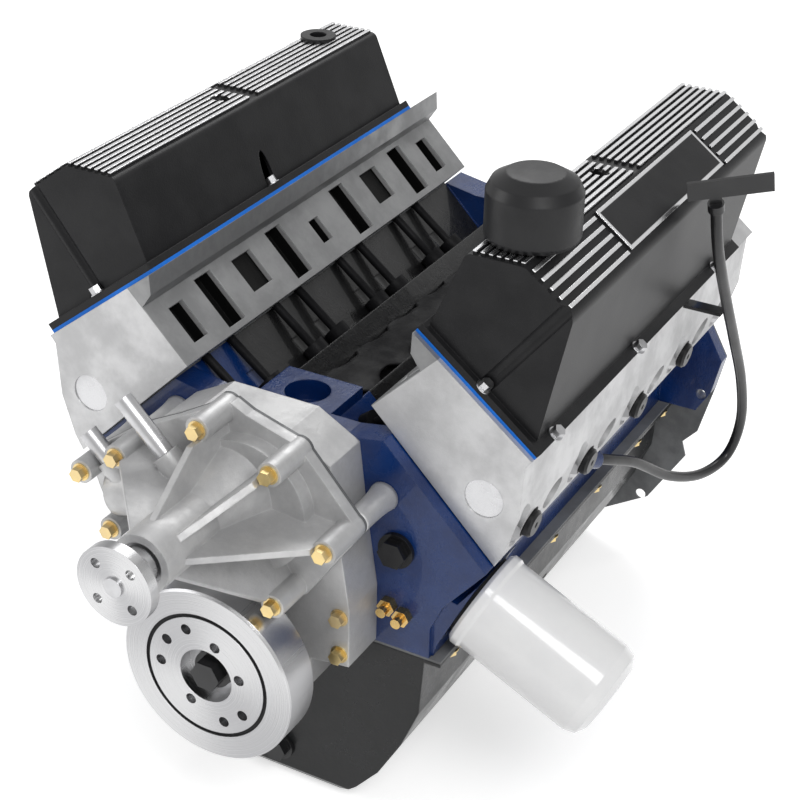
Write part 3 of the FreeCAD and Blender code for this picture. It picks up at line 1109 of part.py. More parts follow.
pump_outlets = [cylinder("heater_boss", S.heater_pipe + 4, 46.0, (-21.5, RIM_FACE - 20, 145.5), tap_rise),
                cylinder("stub_boss", S.heater_pipe + 3, 26.0, (-99.6, RIM_FACE - 10, 129.6), tap_rise)]
pump_ribs = []
for k, (x, z, reach) in enumerate(PUMP_BOLTS[:5]):
    rise = math.hypot(x, z - plain(S.pump_height))
    web = side_plate("pump_web_pattern_%d" % k, [
        (RIM_FACE + 1, S.pump_nose_radius - 4), (FRONT - S.pump_web_start, S.pump_nose_radius - 4),
        (FRONT - S.pump_web_start, S.pump_nose_radius), (FRONT - reach + 3, rise),
        (RIM_FACE + 1, rise)], -S.pump_rib / 2, S.pump_rib)
    doc.recompute()
    rib = doc.addObject("Part::Feature", "pump_web_%d" % k)
    rib.Shape = web.Shape.copy()
    rib.Placement = spot((0, 0, S.pump_height), FreeCAD.Rotation(
        Y_AXIS, math.degrees(math.atan2(x, z - plain(S.pump_height))))).multiply(web.Placement)
    pump_ribs.append(rib)
pump_tap = cylinder("pump_tap", S.pump_tap, S.pump_rim + 14, (-41.0, RIM_FACE - 14, 133.0),
                    ALONG_Y)
node("water_pump_housing", cut("pump_housing", fuse("pump_casting", [
    pump_rim, pump_cone, pump_nose, pump_volute, pump_passage, pump_tap] + pump_columns
    + pump_outlets + pump_ribs), [
        cylinder("pump_chamber", S.impeller_radius + 3, S.pump_chamber,
                 (ZERO, PLATE_FACE - S.pump_chamber + 0.5, S.pump_height), ALONG_Y),
        cylinder("pump_bearing_bore", S.pump_boss, -NOSE_END + PLATE_FACE,
                 (ZERO, NOSE_END - 1, S.pump_height), ALONG_Y),
        cylinder("pump_tap_hole", S.pump_tap / 2, 18.0, (-41.0, RIM_FACE - 15, 133.0), ALONG_Y)] + [
            cylinder("pump_bolt_seat_%d" % k, S.pump_bolt_seat, 70.0, (x, FRONT - reach, z), TO_FRONT)
            for k, (x, z, reach) in enumerate(PUMP_BOLTS)] + [
                box("pump_plate_side", (-200.0, PLATE_FACE, ZERO), (400.0, 60.0, 300.0))]))
node("pump_bearing", turned("pump_bearing_ring", [
    (S.pump_shaft + S.oil_film, ZERO), (S.pump_boss, ZERO),
    (S.pump_boss, S.pump_bearing_long), (S.pump_shaft + S.oil_film, S.pump_bearing_long)],
    (ZERO, NOSE_END + 2, S.pump_height), ALONG_Y))
hub_bolts = [cylinder("pump_hub_hole_%d" % k, S.pump_hub_hole, S.pump_hub_thick + 2, (
    S.pump_hub_circle * (math.cos(math.radians(45 + 90 * k)) / 2), HUB_FACE - 1,
    S.pump_height + S.pump_hub_circle * (math.sin(math.radians(45 + 90 * k)) / 2)), ALONG_Y)
    for k in range(4)]
node("pump_hub", cut("pump_flange", fuse("pump_flange_blank", [
    cylinder("pump_flange_disc", S.pump_hub, S.pump_hub_thick,
             (ZERO, HUB_FACE, S.pump_height), ALONG_Y),
    cylinder("pump_flange_boss", S.pump_boss - 2, NOSE_END - HUB_FACE - 1,
             (ZERO, HUB_FACE, S.pump_height), ALONG_Y)]), hub_bolts + [
                 cylinder("pump_flange_bore", S.pump_shaft, NOSE_END - HUB_FACE + 2,
                          (ZERO, HUB_FACE - 1, S.pump_height), ALONG_Y)]))
IMPELLER_BACK = PLATE_FACE - 2.0
shaft_end = IMPELLER_BACK - 1
node("pump_shaft", cylinder("pump_spindle", S.pump_shaft, shaft_end - HUB_FACE + 2,
                            (ZERO, HUB_FACE - 2, S.pump_height), ALONG_Y))
vane_pattern = box("impeller_vane_pattern", (S.pump_shaft + 2, -1.5, 0.0),
                   (S.impeller_radius - S.pump_shaft - 3, 3.0, S.impeller_tall))
doc.recompute()
vanes = []
for k in range(6):
    vane = doc.addObject("Part::Feature", "impeller_vane_%d" % k)
    vane.Shape = vane_pattern.Shape.copy()
    vane.Placement = spot((0, 0, 0), FreeCAD.Rotation(Z_AXIS, 60 * k)).multiply(
        vane_pattern.Placement)
    vanes.append(vane)
wheel = cut("impeller_wheel", fuse("impeller_blank", vanes + [
    cylinder("impeller_disc", S.impeller_radius, 2.5, (0.0, 0.0, 0.0)),
    cylinder("impeller_boss", S.pump_shaft + 5, S.impeller_tall, (0.0, 0.0, 0.0))]), [
        cylinder("impeller_bore", S.pump_shaft, S.impeller_tall + 2, (0.0, 0.0, -1.0))])
node("pump_impeller", place(wheel, (ZERO, IMPELLER_BACK, S.pump_height), TO_FRONT))
pump_bolt = bolt("pump_bolt_pattern", 11.0, 7.0)
copies("front_cover_bolts", pump_bolt, case_bolt_places + [
    spot((x, FRONT - reach, z), TO_FRONT) for x, z, reach in PUMP_BOLTS])


def pipe(name, points, radius, wall):
    """A bent tube with mitred bends along a line of points."""
    corners = [FreeCAD.Vector(*[plain(c) for c in point]) for point in points]
    wire = Part.makePolygon(corners)
    ahead = corners[1] - corners[0]
    outer, inner = [
        wire.makePipeShell([Part.Wire([Part.makeCircle(size, corners[0], ahead)])], True, False, 1)
        for size in (plain(radius), plain(radius - wall))]
    item = doc.addObject("Part::Feature", name)
    item.Shape = outer.cut(inner)
    return item


heater = pipe("heater_pipe", [(-54.2, RIM_FACE - 20, 178.2), (-93.0, RIM_FACE - 20, 217.0)],
              S.heater_pipe, S.pipe_wall)
stub = pipe("heater_stub", [(-118.2, RIM_FACE - 10, 148.2), (-138.0, RIM_FACE - 10, 168.0)],
            S.heater_pipe, S.pipe_wall)
group("heater_tubes", [heater, stub])

# Crankshaft damper: hub, rubber and ring, held by one bolt
DAMPER_FACE = FRONT - S.damper_face
hub_profile = [
    (S.snout_radius, S.damper_recess), (S.damper_core, S.damper_recess),
    (S.damper_core, ZERO), (S.damper_hub, ZERO), (S.damper_hub, S.damper_wide),
    (S.damper_hub - 8, S.damper_wide), (S.damper_hub - 8, S.damper_recess + S.damper_web),
    (S.damper_sleeve, S.damper_recess + S.damper_web),
    (S.damper_sleeve, S.damper_face - S.case_deep + S.case_wall + 4),
    (S.snout_radius, S.damper_face - S.case_deep + S.case_wall + 4)]
damper_holes = []
for k, (turn, circle) in enumerate(((114.0, S.damper_outer), (148.0, S.damper_outer),
                                    (180.0, S.damper_outer), (-38.0, S.damper_outer),
                                    (-68.0, S.damper_outer), (73.0, S.damper_inner),
                                    (13.0, S.damper_inner), (-118.0, S.damper_inner))):
    damper_holes.append(cylinder("damper_hole_%d" % k, S.damper_hole, S.damper_web, (
        circle * math.cos(math.radians(turn)), DAMPER_FACE - 1,
        circle * math.sin(math.radians(turn))), ALONG_Y))
node("damper_hub", cut("damper_centre", turned(
    "damper_centre_blank", hub_profile, (ZERO, DAMPER_FACE, ZERO), ALONG_Y), damper_holes))
node("damper_rubber", turned("damper_band", [
    (S.damper_hub, ZERO + 1.5), (S.damper_hub + S.rubber_thick, ZERO + 1.5),
    (S.damper_hub + S.rubber_thick, S.damper_wide - 1.5), (S.damper_hub, S.damper_wide - 1.5)],
    (ZERO, DAMPER_FACE, ZERO), ALONG_Y))
node("damper_ring", turned("damper_rim", [
    (S.damper_hub + S.rubber_thick, ZERO), (S.damper_radius - 2, ZERO),
    (S.damper_radius, ZERO + 2), (S.damper_radius, S.damper_wide - 2),
    (S.damper_radius - 2, S.damper_wide), (S.damper_hub + S.rubber_thick, S.damper_wide)],
    (ZERO, DAMPER_FACE, ZERO), ALONG_Y))
crank_bolt = bolt("crank_bolt_head", 24.0, 12.0, 4.0)
node("crank_bolt", place(crank_bolt, (ZERO, DAMPER_FACE + S.damper_recess, ZERO), TO_FRONT))

# Rear crankshaft seal housing and the plate behind the block
housing = box("seal_housing_block", (-S.housing_half, REAR - S.housing_long, -S.housing_deep),
              (S.housing_half * 2, S.housing_long, S.housing_deep))
node("rear_seal_housing", cut("seal_housing", housing, [
    cylinder("housing_seal_seat", S.crank_flange + S.seal_wall, S.seal_seat + 1,
             (ZERO, REAR - S.seal_seat, ZERO), ALONG_Y),
    cylinder("housing_flange_room", S.crank_flange + 2, S.flange_thick,
             (ZERO, -S.flange_thick - 2, ZERO), ALONG_Y),
    cylinder("housing_shaft_room", MAIN_RADIUS + S.shell_wall, S.housing_long + 2,
             (ZERO, REAR - S.housing_long - 1, ZERO), ALONG_Y)]))
block_plate = plate("block_plate_body", both_halves([
    (60.0 + ZERO, ZERO - 176), (86.0 + ZERO, ZERO - 160), (139.0 + ZERO, ZERO - 127),
    (176.0 + ZERO, ZERO - 65), (171.0 + ZERO, ZERO - 49), (S.bell_foot, ZERO - 32),
    (S.bell_ear, S.bell_low), (S.bell_ear + 8, S.bell_middle), (S.bell_ear - 16, S.bell_high),
    (S.bell_top, S.wall_top - 30)]), REAR, S.plate_thick)
node("block_plate", cut("rear_plate", block_plate, [
    cylinder("plate_opening", S.crank_flange + S.seal_wall + 4, S.plate_thick + 2,
             (ZERO, REAR - 1, ZERO), ALONG_Y)] + [
    cylinder("plate_hole_%d_%d" % (k, hand + 1), S.bell_hole, S.plate_thick + 2,
             (x * hand, REAR - 1, z), ALONG_Y)
    for k, (x, z) in enumerate(((S.bell_hole_x, S.bell_hole_z), (ZERO + 131, ZERO - 126)))
    for hand in (-1, 1)]))

# Oil pan, its gasket, bolts and drain plug
pan_half_outline = [
    (S.pan_bottom, S.pan_floor), (S.pan_keel, S.pan_keel_at), (S.pan_chine, S.pan_chine_at),
    (S.pan_knee, S.pan_knee_at), (S.pan_waist, S.pan_waist_at), (S.pan_half, ZERO)]
pan_side_outline = [
    (FRONT, ZERO), (FRONT, S.pan_floor + 12), (FRONT + 10, S.pan_floor),
    (FRONT + S.front_sump_end, S.pan_floor),
    (FRONT + S.front_sump_end + S.sump_slope, S.pan_shallow),
    (FRONT + S.rear_sump_start - S.sump_slope, S.pan_shallow),
    (FRONT + S.rear_sump_start, S.pan_floor), (FRONT + S.rear_sump_end, S.pan_floor),
    (REAR, S.pan_shallow - 10), (REAR, ZERO)]


def pan_form(name, inward, top):
    """The pan's two-way form, drawn in by a wall thickness, up to a height."""
    shrunk = [(x - inward, z + (inward if k == 0 else inward * 0.5))
              for k, (x, z) in enumerate(pan_half_outline[:-1])]
    across = plate(name + "_across", both_halves(shrunk + [(S.pan_half - inward, top)]),
                   FRONT + inward, S.block_length - inward * 2)
    slope = inward * 0.4
    profile = pan_side_outline
    inner = [
        (profile[0][0] + inward, top), (profile[1][0] + inward, profile[1][1] + inward),
        (profile[2][0] + inward, profile[2][1] + inward),
        (profile[3][0] - slope, profile[3][1] + inward),
        (profile[4][0] - slope, profile[4][1] + inward),
        (profile[5][0] + slope, profile[5][1] + inward),
        (profile[6][0] + slope, profile[6][1] + inward),
        (profile[7][0] - slope, profile[7][1] + inward),
        (profile[8][0] - inward, profile[8][1] + inward), (profile[9][0] - inward, top)]
    along = side_plate(name + "_along", inner, -S.pan_half - 5, S.pan_half * 2 + 10)
    return common(name, across, along)


pan_top = ZERO - S.pan_gasket
pan_lip = box("pan_lip", (-S.rail_half - S.pan_lip, FRONT, pan_top - S.pan_flange),
              ((S.rail_half + S.pan_lip) * 2, S.block_length, S.pan_flange))
front_notch = cylinder("pan_front_notch", S.case_crank_room, 6.0, (ZERO, FRONT - 1, ZERO), ALONG_Y)
rear_notch = box("pan_rear_notch", (-S.housing_half - 0.3, REAR - 6, -S.housing_deep - 0.3),
                 (S.housing_half * 2 + 0.6, 10.0, S.housing_deep + 10))
node("oil_pan", cut("pan", cut("pan_trimmed", fuse("pan_blank", [
    pan_form("pan_outer", ZERO, pan_top), pan_lip]), [pan_form("pan_inner", S.pan_wall, ZERO + 5)]),
    [front_notch, rear_notch]))
node("drain_plug", place(bolt("drain_plug_head", 19.0, 8.0, 3.0), (
    ZERO, FRONT, S.pan_floor + 34), TO_FRONT))
seal_half = S.rail_half - S.pan_wall - 12
gasket_bar = box("pan_gasket_bar", (-S.rail_half - S.pan_lip, FRONT, pan_top),
                 ((S.rail_half + S.pan_lip) * 2, S.block_length, S.pan_gasket))
node("oil_pan_gasket", cut("pan_seal", gasket_bar, [
    box("pan_gasket_window", (-seal_half, FRONT + S.pan_wall, pan_top - 1),
        (seal_half * 2, S.block_length - S.pan_wall * 2, S.pan_gasket + 2)),
    front_notch, rear_notch]))
pan_bolt = bolt("pan_bolt_pattern", 10.0, 5.0)
copies("oil_pan_bolts", pan_bolt, [
    spot((S.pan_bolt_at * hand, FRONT + station, pan_top - S.pan_flange), DOWNWARD)
    for hand in (-1, 1) for station in (30.0, 130.0, 230.0, 330.0, 430.0, 500.0)])

# Oil pump and its pickup, inside the front sump
pump_leg = box("oil_pump_leg", (-S.oil_pump_out, FRONT + 5, -S.oil_pump_drop), (
    26.0, 22.0, S.oil_pump_drop))
pump_case = cylinder("oil_pump_case", S.oil_pump_radius, S.oil_pump_tall,
                     (-S.oil_pump_out + S.oil_pump_radius, FRONT + 49,
                      -S.oil_pump_drop - S.oil_pump_tall + 14))
pickup_at = (-S.oil_pump_out + S.oil_pump_radius, FRONT + 49, -S.oil_pump_drop - S.oil_pump_tall
             + 14)
pickup = pipe("pickup_pipe", [
    (pickup_at[0], pickup_at[1], pickup_at[2] + 2), (pickup_at[0], pickup_at[1],
                                                    pickup_at[2] - 8),
    (pickup_at[0] + 20, pickup_at[1] + 10, S.pan_floor + 34),
    (pickup_at[0] + 34, pickup_at[1] + 16, S.pan_floor + 24)], S.pickup_radius, S.pipe_wall)
strainer = cylinder("pickup_strainer", S.pickup_radius * 3, 12.0, (
    pickup_at[0] + 34, pickup_at[1] + 16, S.pan_floor + 14))
node("oil_pump", fuse("oil_pump_casting", [pump_leg, pump_case, pickup, strainer]))

# Oil filter on its seal
filter_steps = [(ZERO, S.filter_seal), (S.filter_radius - 3, S.filter_seal),
                (S.filter_radius, S.filter_seal + 3), (S.filter_radius, S.filter_seal + 9),
                (S.filter_radius - 1.5, S.filter_seal + 12),
                (S.filter_radius - 1.5, S.filter_long - 16),
                (S.filter_radius - 5, S.filter_long - 6), (S.filter_radius - 14, S.filter_long - 1),
                (S.filter_radius - 26, S.filter_long), (ZERO, S.filter_long)]
node("oil_filter", turned("filter_can", filter_steps, filter_seat, filter_turn))
node("oil_filter_seal", turned("filter_ring", [
    (S.filter_radius - 14, ZERO), (S.filter_radius - 8, ZERO),
    (S.filter_radius - 8, S.filter_seal), (S.filter_radius - 14, S.filter_seal)],
    filter_seat, filter_turn))

# Dipstick, its tube and the strap that holds the tube to the head
node("dipstick_tube", pipe("dipstick_pipe", tube_points, S.tube_radius, S.tube_wall))
blade = cylinder("dipstick_blade", S.blade_radius, S.blade_long + 1, (0.0, 0.0, -S.blade_long))
stopper = cylinder("dipstick_stopper", S.tube_radius + 2, 8.0, (0.0, 0.0, 0.3))
loop = plate("dipstick_handle", [
    (ZERO - 5, ZERO + 8), (ZERO + 5, ZERO + 8), (ZERO + 5, ZERO + 15), (S.handle_right, ZERO + 15),
    (S.handle_right, S.handle_tall), (-S.handle_left, S.handle_tall), (-S.handle_left, ZERO + 15),
    (ZERO - 5, ZERO + 15)], -S.handle_thick / 2, S.handle_thick)
tube_lean = FreeCAD.Rotation(Z_AXIS, FreeCAD.Vector(0, -plain(S.dipstick_lean), 1))
dipstick = fuse("dipstick_assembly", [blade, stopper, loop])
node("dipstick", place(dipstick, tube_points[0], tube_lean.multiply(
    FreeCAD.Rotation(Z_AXIS, plain(S.handle_turn)))))
strap = box("tube_strap", (ZERO + 216.9, FRONT + 343, S.strap_up), (S.strap_long, 14.0, 3.0))
node("tube_bracket", strap)

# Small fittings on the block
gallery_plug = place(bolt("gallery_plug_head", 22.0, 8.0, 4.0), (114.0, FRONT, 98.0), TO_FRONT)
fitting = fuse("brass_fitting_pattern", [prism("brass_fitting_hexagon", 14.0, 8.0,
                                               (0.0, 0.0, 0.0)),
                                         cylinder("brass_fitting_end", 4.5, 16.0,
                                                  (0.0, 0.0, 0.0))])
doc.recompute()
block_fittings = doc.addObject("Part::Feature", "block_fitting_set")
block_fittings.Shape = Part.makeCompound([gallery_plug.Shape] + [
    fitting.Shape.transformed(spot((x, FRONT, z), TO_FRONT).toMatrix(), True)
    for x, z in ((108.0, 42.0), (122.0, 36.0))])
node("block_fittings", block_fittings)

doc.recompute()
for item in doc.Objects:
    if "Invalid" in item.State or "Error" in item.State:
        raise RuntimeError("%s could not be built" % item.Label)
os.makedirs("parts", exist_ok=True)
for item in NODES:
    if item.Shape.isNull() or not item.Shape.isValid():
        raise RuntimeError("%s has no valid shape" % item.Label)
    item.Shape.exportStep("parts/%s.step" % item.Label)
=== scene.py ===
"""Looks of a complete V8 engine: its finishes, its formed pieces, the studio and the camera."""

import logging
import math
from dataclasses import dataclass
from enum import Enum
from typing import Any, Callable, Sequence

import bpy
import numpy as np
from mathutils import Matrix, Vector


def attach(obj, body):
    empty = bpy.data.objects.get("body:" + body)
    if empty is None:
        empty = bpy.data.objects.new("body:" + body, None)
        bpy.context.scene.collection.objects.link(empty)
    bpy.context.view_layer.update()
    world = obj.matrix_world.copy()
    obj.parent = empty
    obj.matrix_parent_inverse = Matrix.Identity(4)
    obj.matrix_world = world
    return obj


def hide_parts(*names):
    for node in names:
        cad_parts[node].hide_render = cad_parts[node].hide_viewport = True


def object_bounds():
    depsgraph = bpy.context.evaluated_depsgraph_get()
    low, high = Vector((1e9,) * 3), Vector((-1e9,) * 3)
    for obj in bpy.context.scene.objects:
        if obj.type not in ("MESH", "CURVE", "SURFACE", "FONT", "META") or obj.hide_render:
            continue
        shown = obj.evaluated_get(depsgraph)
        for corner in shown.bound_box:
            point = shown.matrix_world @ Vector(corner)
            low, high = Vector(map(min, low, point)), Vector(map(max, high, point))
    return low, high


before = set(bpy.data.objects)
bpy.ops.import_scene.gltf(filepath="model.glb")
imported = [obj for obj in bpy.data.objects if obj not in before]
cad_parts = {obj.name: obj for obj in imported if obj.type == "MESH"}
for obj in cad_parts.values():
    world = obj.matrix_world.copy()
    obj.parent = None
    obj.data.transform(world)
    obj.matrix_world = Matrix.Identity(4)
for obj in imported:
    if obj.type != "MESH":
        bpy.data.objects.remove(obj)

CAD_BOX = [list(corner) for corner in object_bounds()]
LOG = logging.getLogger("engine")
Colour = tuple[float, float, float]
Point = tuple[float, float, float]

MM = 0.001
FRONT = -528.0  # the block's front face along Y, in mm
BANK = math.sqrt(0.5)  # sine and cosine of the 45 degrees by which each bank leans


class Side(Enum):
    """The two banks of the engine, with the sign of X on which each one lies."""

    RIGHT = -1
    LEFT = 1


class Graph:
    """A short hand on one node tree, so that a finish reads as a recipe."""

    def __init__(self, tree: bpy.types.NodeTree) -> None:
        """Keeps the tree that the nodes go into."""
        self.tree = tree

    def add(self, kind: str, feeds: dict[Any, Any] | None = None, **settings: Any) -> bpy.types.Node:
        """Adds one node, sets its properties and feeds its inputs.

        Args:
            kind: The node's type name without its ShaderNode prefix.
            feeds: Inputs by name or number, each a value or another node's output.
            settings: The node's own properties.

        Returns:
            The new node.
        """
        node = self.tree.nodes.new(kind if kind.startswith("Node") else "ShaderNode" + kind)
        for key, value in settings.items():
            setattr(node, key, value)
        for key, value in (feeds or {}).items():
            if isinstance(value, bpy.types.NodeSocket):
                self.tree.links.new(value, node.inputs[key])
            else:
                node.inputs[key].default_value = value
        return node

    def math(self, operation: str, *values: Any) -> bpy.types.NodeSocket:
        """Returns the output of a Math node on the given values or outputs."""
        return self.add("Math", dict(enumerate(values)), operation=operation).outputs[0]

    def vector(self, operation: str, *values: Any) -> bpy.types.Node:
        """Returns a Vector Math node on the given values or outputs."""
        return self.add("VectorMath", dict(enumerate(values)), operation=operation)

    def mix(self, share: Any, first: Any, second: Any) -> bpy.types.NodeSocket:
        """Blends two colours.

        Args:
            share: Nought for the first colour and one for the second.
            first: A colour or another node's output.
            second: A colour or another node's output.

        Returns:
            The blended colour's output.
        """
        node = self.add("Mix", {0: share}, data_type="RGBA")
        for index, value in ((6, first), (7, second)):
            if isinstance(value, bpy.types.NodeSocket):
                self.tree.links.new(value, node.inputs[index])
            else:
                node.inputs[index].default_value = (*value, 1.0)
        return node.outputs[2]

    def span(self, value: Any, low: float, high: float, out_low: float = 0.0,
             out_high: float = 1.0) -> bpy.types.NodeSocket:
        """Carries a value smoothly from one range into another and holds it at the ends.

        Args:
            value: The value or output to carry over.
            low: Where the first range starts.
            high: Where the first range ends.
            out_low: Where the second range starts.
            out_high: Where the second range ends.

        Returns:
            The output with the carried value.
        """
        feeds = {0: value, 1: low, 2: high, 3: out_low, 4: out_high}
        return self.add("MapRange", feeds, interpolation_type="SMOOTHSTEP").outputs[0]

    def group(self, name: str, feeds: dict[str, Any]) -> bpy.types.Node:
        """Places a shared group in this tree and feeds its named inputs."""
        return self.add("Group", feeds, node_tree=shared(name))


VECTORS = ("Place", "Facing", "Middle", "Half")
GROUPS: dict[str, tuple[list[str], list[str], Callable[[Graph, Any], dict[str, Any]]]] = {}


def shared(name: str) -> bpy.types.NodeTree:
    """Builds a shared group the first time that it is asked for.

    Args:
        name: The group's name in GROUPS.

    Returns:
        The group's node tree.
    """
    if name in bpy.data.node_groups:
        return bpy.data.node_groups[name]
    takes, gives, build = GROUPS[name]
    tree = bpy.data.node_groups.new(name, "ShaderNodeTree")

    for label in takes:
        kind = "NodeSocketVector" if label in VECTORS else "NodeSocketFloat"
        tree.interface.new_socket(label, in_out="INPUT", socket_type=kind)
    for label in gives:
        tree.interface.new_socket(label, in_out="OUTPUT", socket_type="NodeSocketFloat")

    graph = Graph(tree)
    results = build(graph, graph.add("NodeGroupInput").outputs)
    graph.add("NodeGroupOutput", results)
    return tree


# Noise scales per metre: the cast hollows and patches, the paint's warp and its patches
HOLLOWS = 90.0
PATCHES = 22.0
WARP = 900.0
PAINT_PATCHES = 30.0

HOLLOW_SHARE = 1.6
WARP_REACH = 0.0016
SWEEP_LOBES = 2.0
SWEEP_SHARE = 0.2
BOX_SOFT = 0.0004
PLANE_SOFT = 0.0003
EDGE_SAMPLES = 4


def cast_skin(graph: Graph, given: Any) -> dict[str, Any]:
    """Makes the sand-cast skin: fine grains over soft hollows, and slow patches of tone."""
    grain = graph.add("TexNoise", {"Vector": given["Place"], "Scale": given["Grain"], "Detail": 4.0})
    hollow = graph.add("TexNoise", {"Vector": given["Place"], "Scale": HOLLOWS, "Detail": 2.0})
    patch = graph.add("TexNoise", {"Vector": given["Place"], "Scale": PATCHES, "Detail": 5.0,
                                   "Roughness": 0.62})
    deeper = graph.math("MULTIPLY", hollow.outputs[0], HOLLOW_SHARE)
    height = graph.math("ADD", grain.outputs[0], deeper)
    return {"Height": height, "Tone": graph.span(patch.outputs[0], 0.32, 0.68)}


def wrinkle_skin(graph: Graph, given: Any) -> dict[str, Any]:
    """Makes wrinkle paint: warped cells whose borders stand up as a fine crackle."""
    warp = graph.add("TexNoise", {"Vector": given["Place"], "Scale": WARP, "Detail": 2.0})
    bent = graph.vector("MULTIPLY_ADD", warp.outputs["Color"], (WARP_REACH,) * 3, given["Place"])
    cells = graph.add("TexVoronoi", {"Vector": bent.outputs[0], "Scale": given["Grain"]},
                      feature="SMOOTH_F1")
    patch = graph.add("TexNoise", {"Vector": given["Place"], "Scale": PAINT_PATCHES, "Detail": 3.0})
    return {"Height": cells.outputs[0], "Tone": graph.span(patch.outputs[0], 0.3, 0.7)}


def turned_skin(graph: Graph, given: Any) -> dict[str, Any]:
    """Makes lathe marks: rings round an axis along Y, whose tone changes slowly round the turn."""
    parts = graph.add("SeparateXYZ", {0: given["Place"]})
    across = graph.math("SUBTRACT", parts.outputs[0], given["Centre X"])
    above = graph.math("SUBTRACT", parts.outputs[2], given["Centre Z"])
    radius = graph.math("SQRT", graph.math("ADD", graph.math("MULTIPLY", across, across),
                                           graph.math("MULTIPLY", above, above)))
    rings = graph.add("TexNoise", {"W": graph.math("MULTIPLY", radius, given["Grain"]), "Detail": 4.0,
                                   "Scale": 1.0}, noise_dimensions="1D")
    turn = graph.math("ARCTAN2", above, across)
    sweep = graph.math("SINE", graph.math("MULTIPLY", turn, SWEEP_LOBES))
    uneven = graph.math("MULTIPLY_ADD", sweep, SWEEP_SHARE, rings.outputs[0])
    return {"Height": rings.outputs[0], "Tone": graph.span(uneven, 0.25, 0.75)}


def box_mask(graph: Graph, given: Any) -> dict[str, Any]:
    """Gives one inside a box, stated by its middle and half size, and nought outside it."""
    offset = graph.vector("SUBTRACT", given["Place"], given["Middle"])
    away = graph.vector("ABSOLUTE", offset.outputs[0])
    past = graph.vector("SUBTRACT", given["Half"], away.outputs[0])
    parts = graph.add("SeparateXYZ", {0: past.outputs[0]})
    least = graph.math("MINIMUM", parts.outputs[0],
                       graph.math("MINIMUM", parts.outputs[1], parts.outputs[2]))
    return {"Mask": graph.span(least, -BOX_SOFT, BOX_SOFT)}


def plane_mask(graph: Graph, given: Any) -> dict[str, Any]:
    """Gives one beyond a plane and nought behind it, measured along the plane's facing."""
    reach = graph.vector("DOT_PRODUCT", given["Place"], given["Facing"]).outputs["Value"]
    past = graph.math("SUBTRACT", reach, given["Level"])
    return {"Mask": graph.span(past, -PLANE_SOFT, PLANE_SOFT)}


GROUPS.update({
    "cast_skin": (["Place", "Grain"], ["Height", "Tone"], cast_skin),
    "wrinkle_skin": (["Place", "Grain"], ["Height", "Tone"], wrinkle_skin),
    "turned_skin": (["Place", "Grain", "Centre X", "Centre Z"], ["Height", "Tone"], turned_skin),
    "plane_mask": (["Place", "Facing", "Level"], ["Mask"], plane_mask),
    "box_mask": (["Place", "Middle", "Half"], ["Mask"], box_mask),
})


@dataclass(frozen=True)
class Finish:
    """One surface finish: its colour, gloss, grain and the softness of its edges.

    Attributes:
        name: The material's name.
        colour: The colour of the lighter patches.
        shade: The colour of the darker patches.
        metallic: Share of bare metal.
        roughness: Roughness of the lighter patches.
        spread: How much rougher the darker patches are.
        skin: The shared group that gives the grain.
        grain: How fine the grain is.
        depth: How high the grain stands, in mm.
        coat: Weight of the clear coat.
        edge: Radius that the edges appear to have, in mm.
        gloss: The shader's specular level.
        centre: X and Z of the axis that lathe marks run round, in mm.
    """

    name: str
    colour: Colour
    shade: Colour
    metallic: float = 0.0
    roughness: float = 0.5
    spread: float = 0.12
    skin: str = "cast_skin"
    grain: float = 700.0
    depth: float = 0.1
    coat: float = 0.0
    edge: float = 0.9
    gloss: float = 0.3
    centre: tuple[float, float] = (0.0, 0.0)

    def begin(self) -> tuple[bpy.types.Material, Graph, Any]:
        """Makes an empty material with its graph and the place on the piece."""
        material = bpy.data.materials.new(self.name)
        material.use_nodes = True
        material.node_tree.nodes.clear()
        graph = Graph(material.node_tree)
        return material, graph, graph.add("TexCoord").outputs["Object"]

    def skin_of(self, graph: Graph, place: Any) -> bpy.types.Node:
        """Places the finish's grain group."""
        feeds = {"Place": place, "Grain": self.grain}
        if self.skin == "turned_skin":
            feeds.update({"Centre X": self.centre[0] * MM, "Centre Z": self.centre[1] * MM})
        return graph.group(self.skin, feeds)

    def leaning(self, graph: Graph, place: Any, degrees: float) -> Any:
        """Turns the place about the Y axis, so that a leaning face is measured square.

        Args:
            graph: The material's graph.
            place: The place on the piece.
            degrees: The angle to turn by.

        Returns:
            The turned place's output.
        """
        turn = graph.add("Mapping", {"Vector": place, "Rotation": (0.0, math.radians(degrees), 0.0)})
        return turn.outputs[0]

    def rough_of(self, graph: Graph, tone: Any) -> bpy.types.NodeSocket:
        """Returns the roughness, which is higher where the tone is dark."""
        return graph.span(tone, 0.0, 1.0, self.roughness + self.spread, self.roughness)

    def close(self, graph: Graph, colour: Any, metallic: Any, roughness: Any, height: Any) -> None:
        """Joins colour, gloss and grain to the shader, with softly broken edges.

        Args:
            graph: The material's graph.
            colour: Base colour output.
            metallic: Share of bare metal, a value or an output.
            roughness: Roughness output.
            height: Height output of the grain.
        """
        soft = graph.add("Bevel", {"Radius": self.edge * MM}, samples=EDGE_SAMPLES)
        bump = graph.add("Bump", {"Strength": 1.0, "Distance": self.depth * MM, "Height": height,
                                  "Normal": soft.outputs[0]})
        shader = graph.add("BsdfPrincipled", {
            "Base Color": colour, "Metallic": metallic, "Roughness": roughness,
            "Coat Weight": self.coat, "Specular IOR Level": self.gloss, "Normal": bump.outputs[0]})
        graph.add("OutputMaterial", {0: shader.outputs[0]})

    def material(self) -> bpy.types.Material:
        """Builds the plain form of the finish: toned colour, toned gloss and grain."""
        material, graph, place = self.begin()
        skin = self.skin_of(graph, place)
        tone = skin.outputs["Tone"]
        self.close(graph, graph.mix(tone, self.shade, self.colour), self.metallic,
                   self.rough_of(graph, tone), skin.outputs["Height"])
        return material


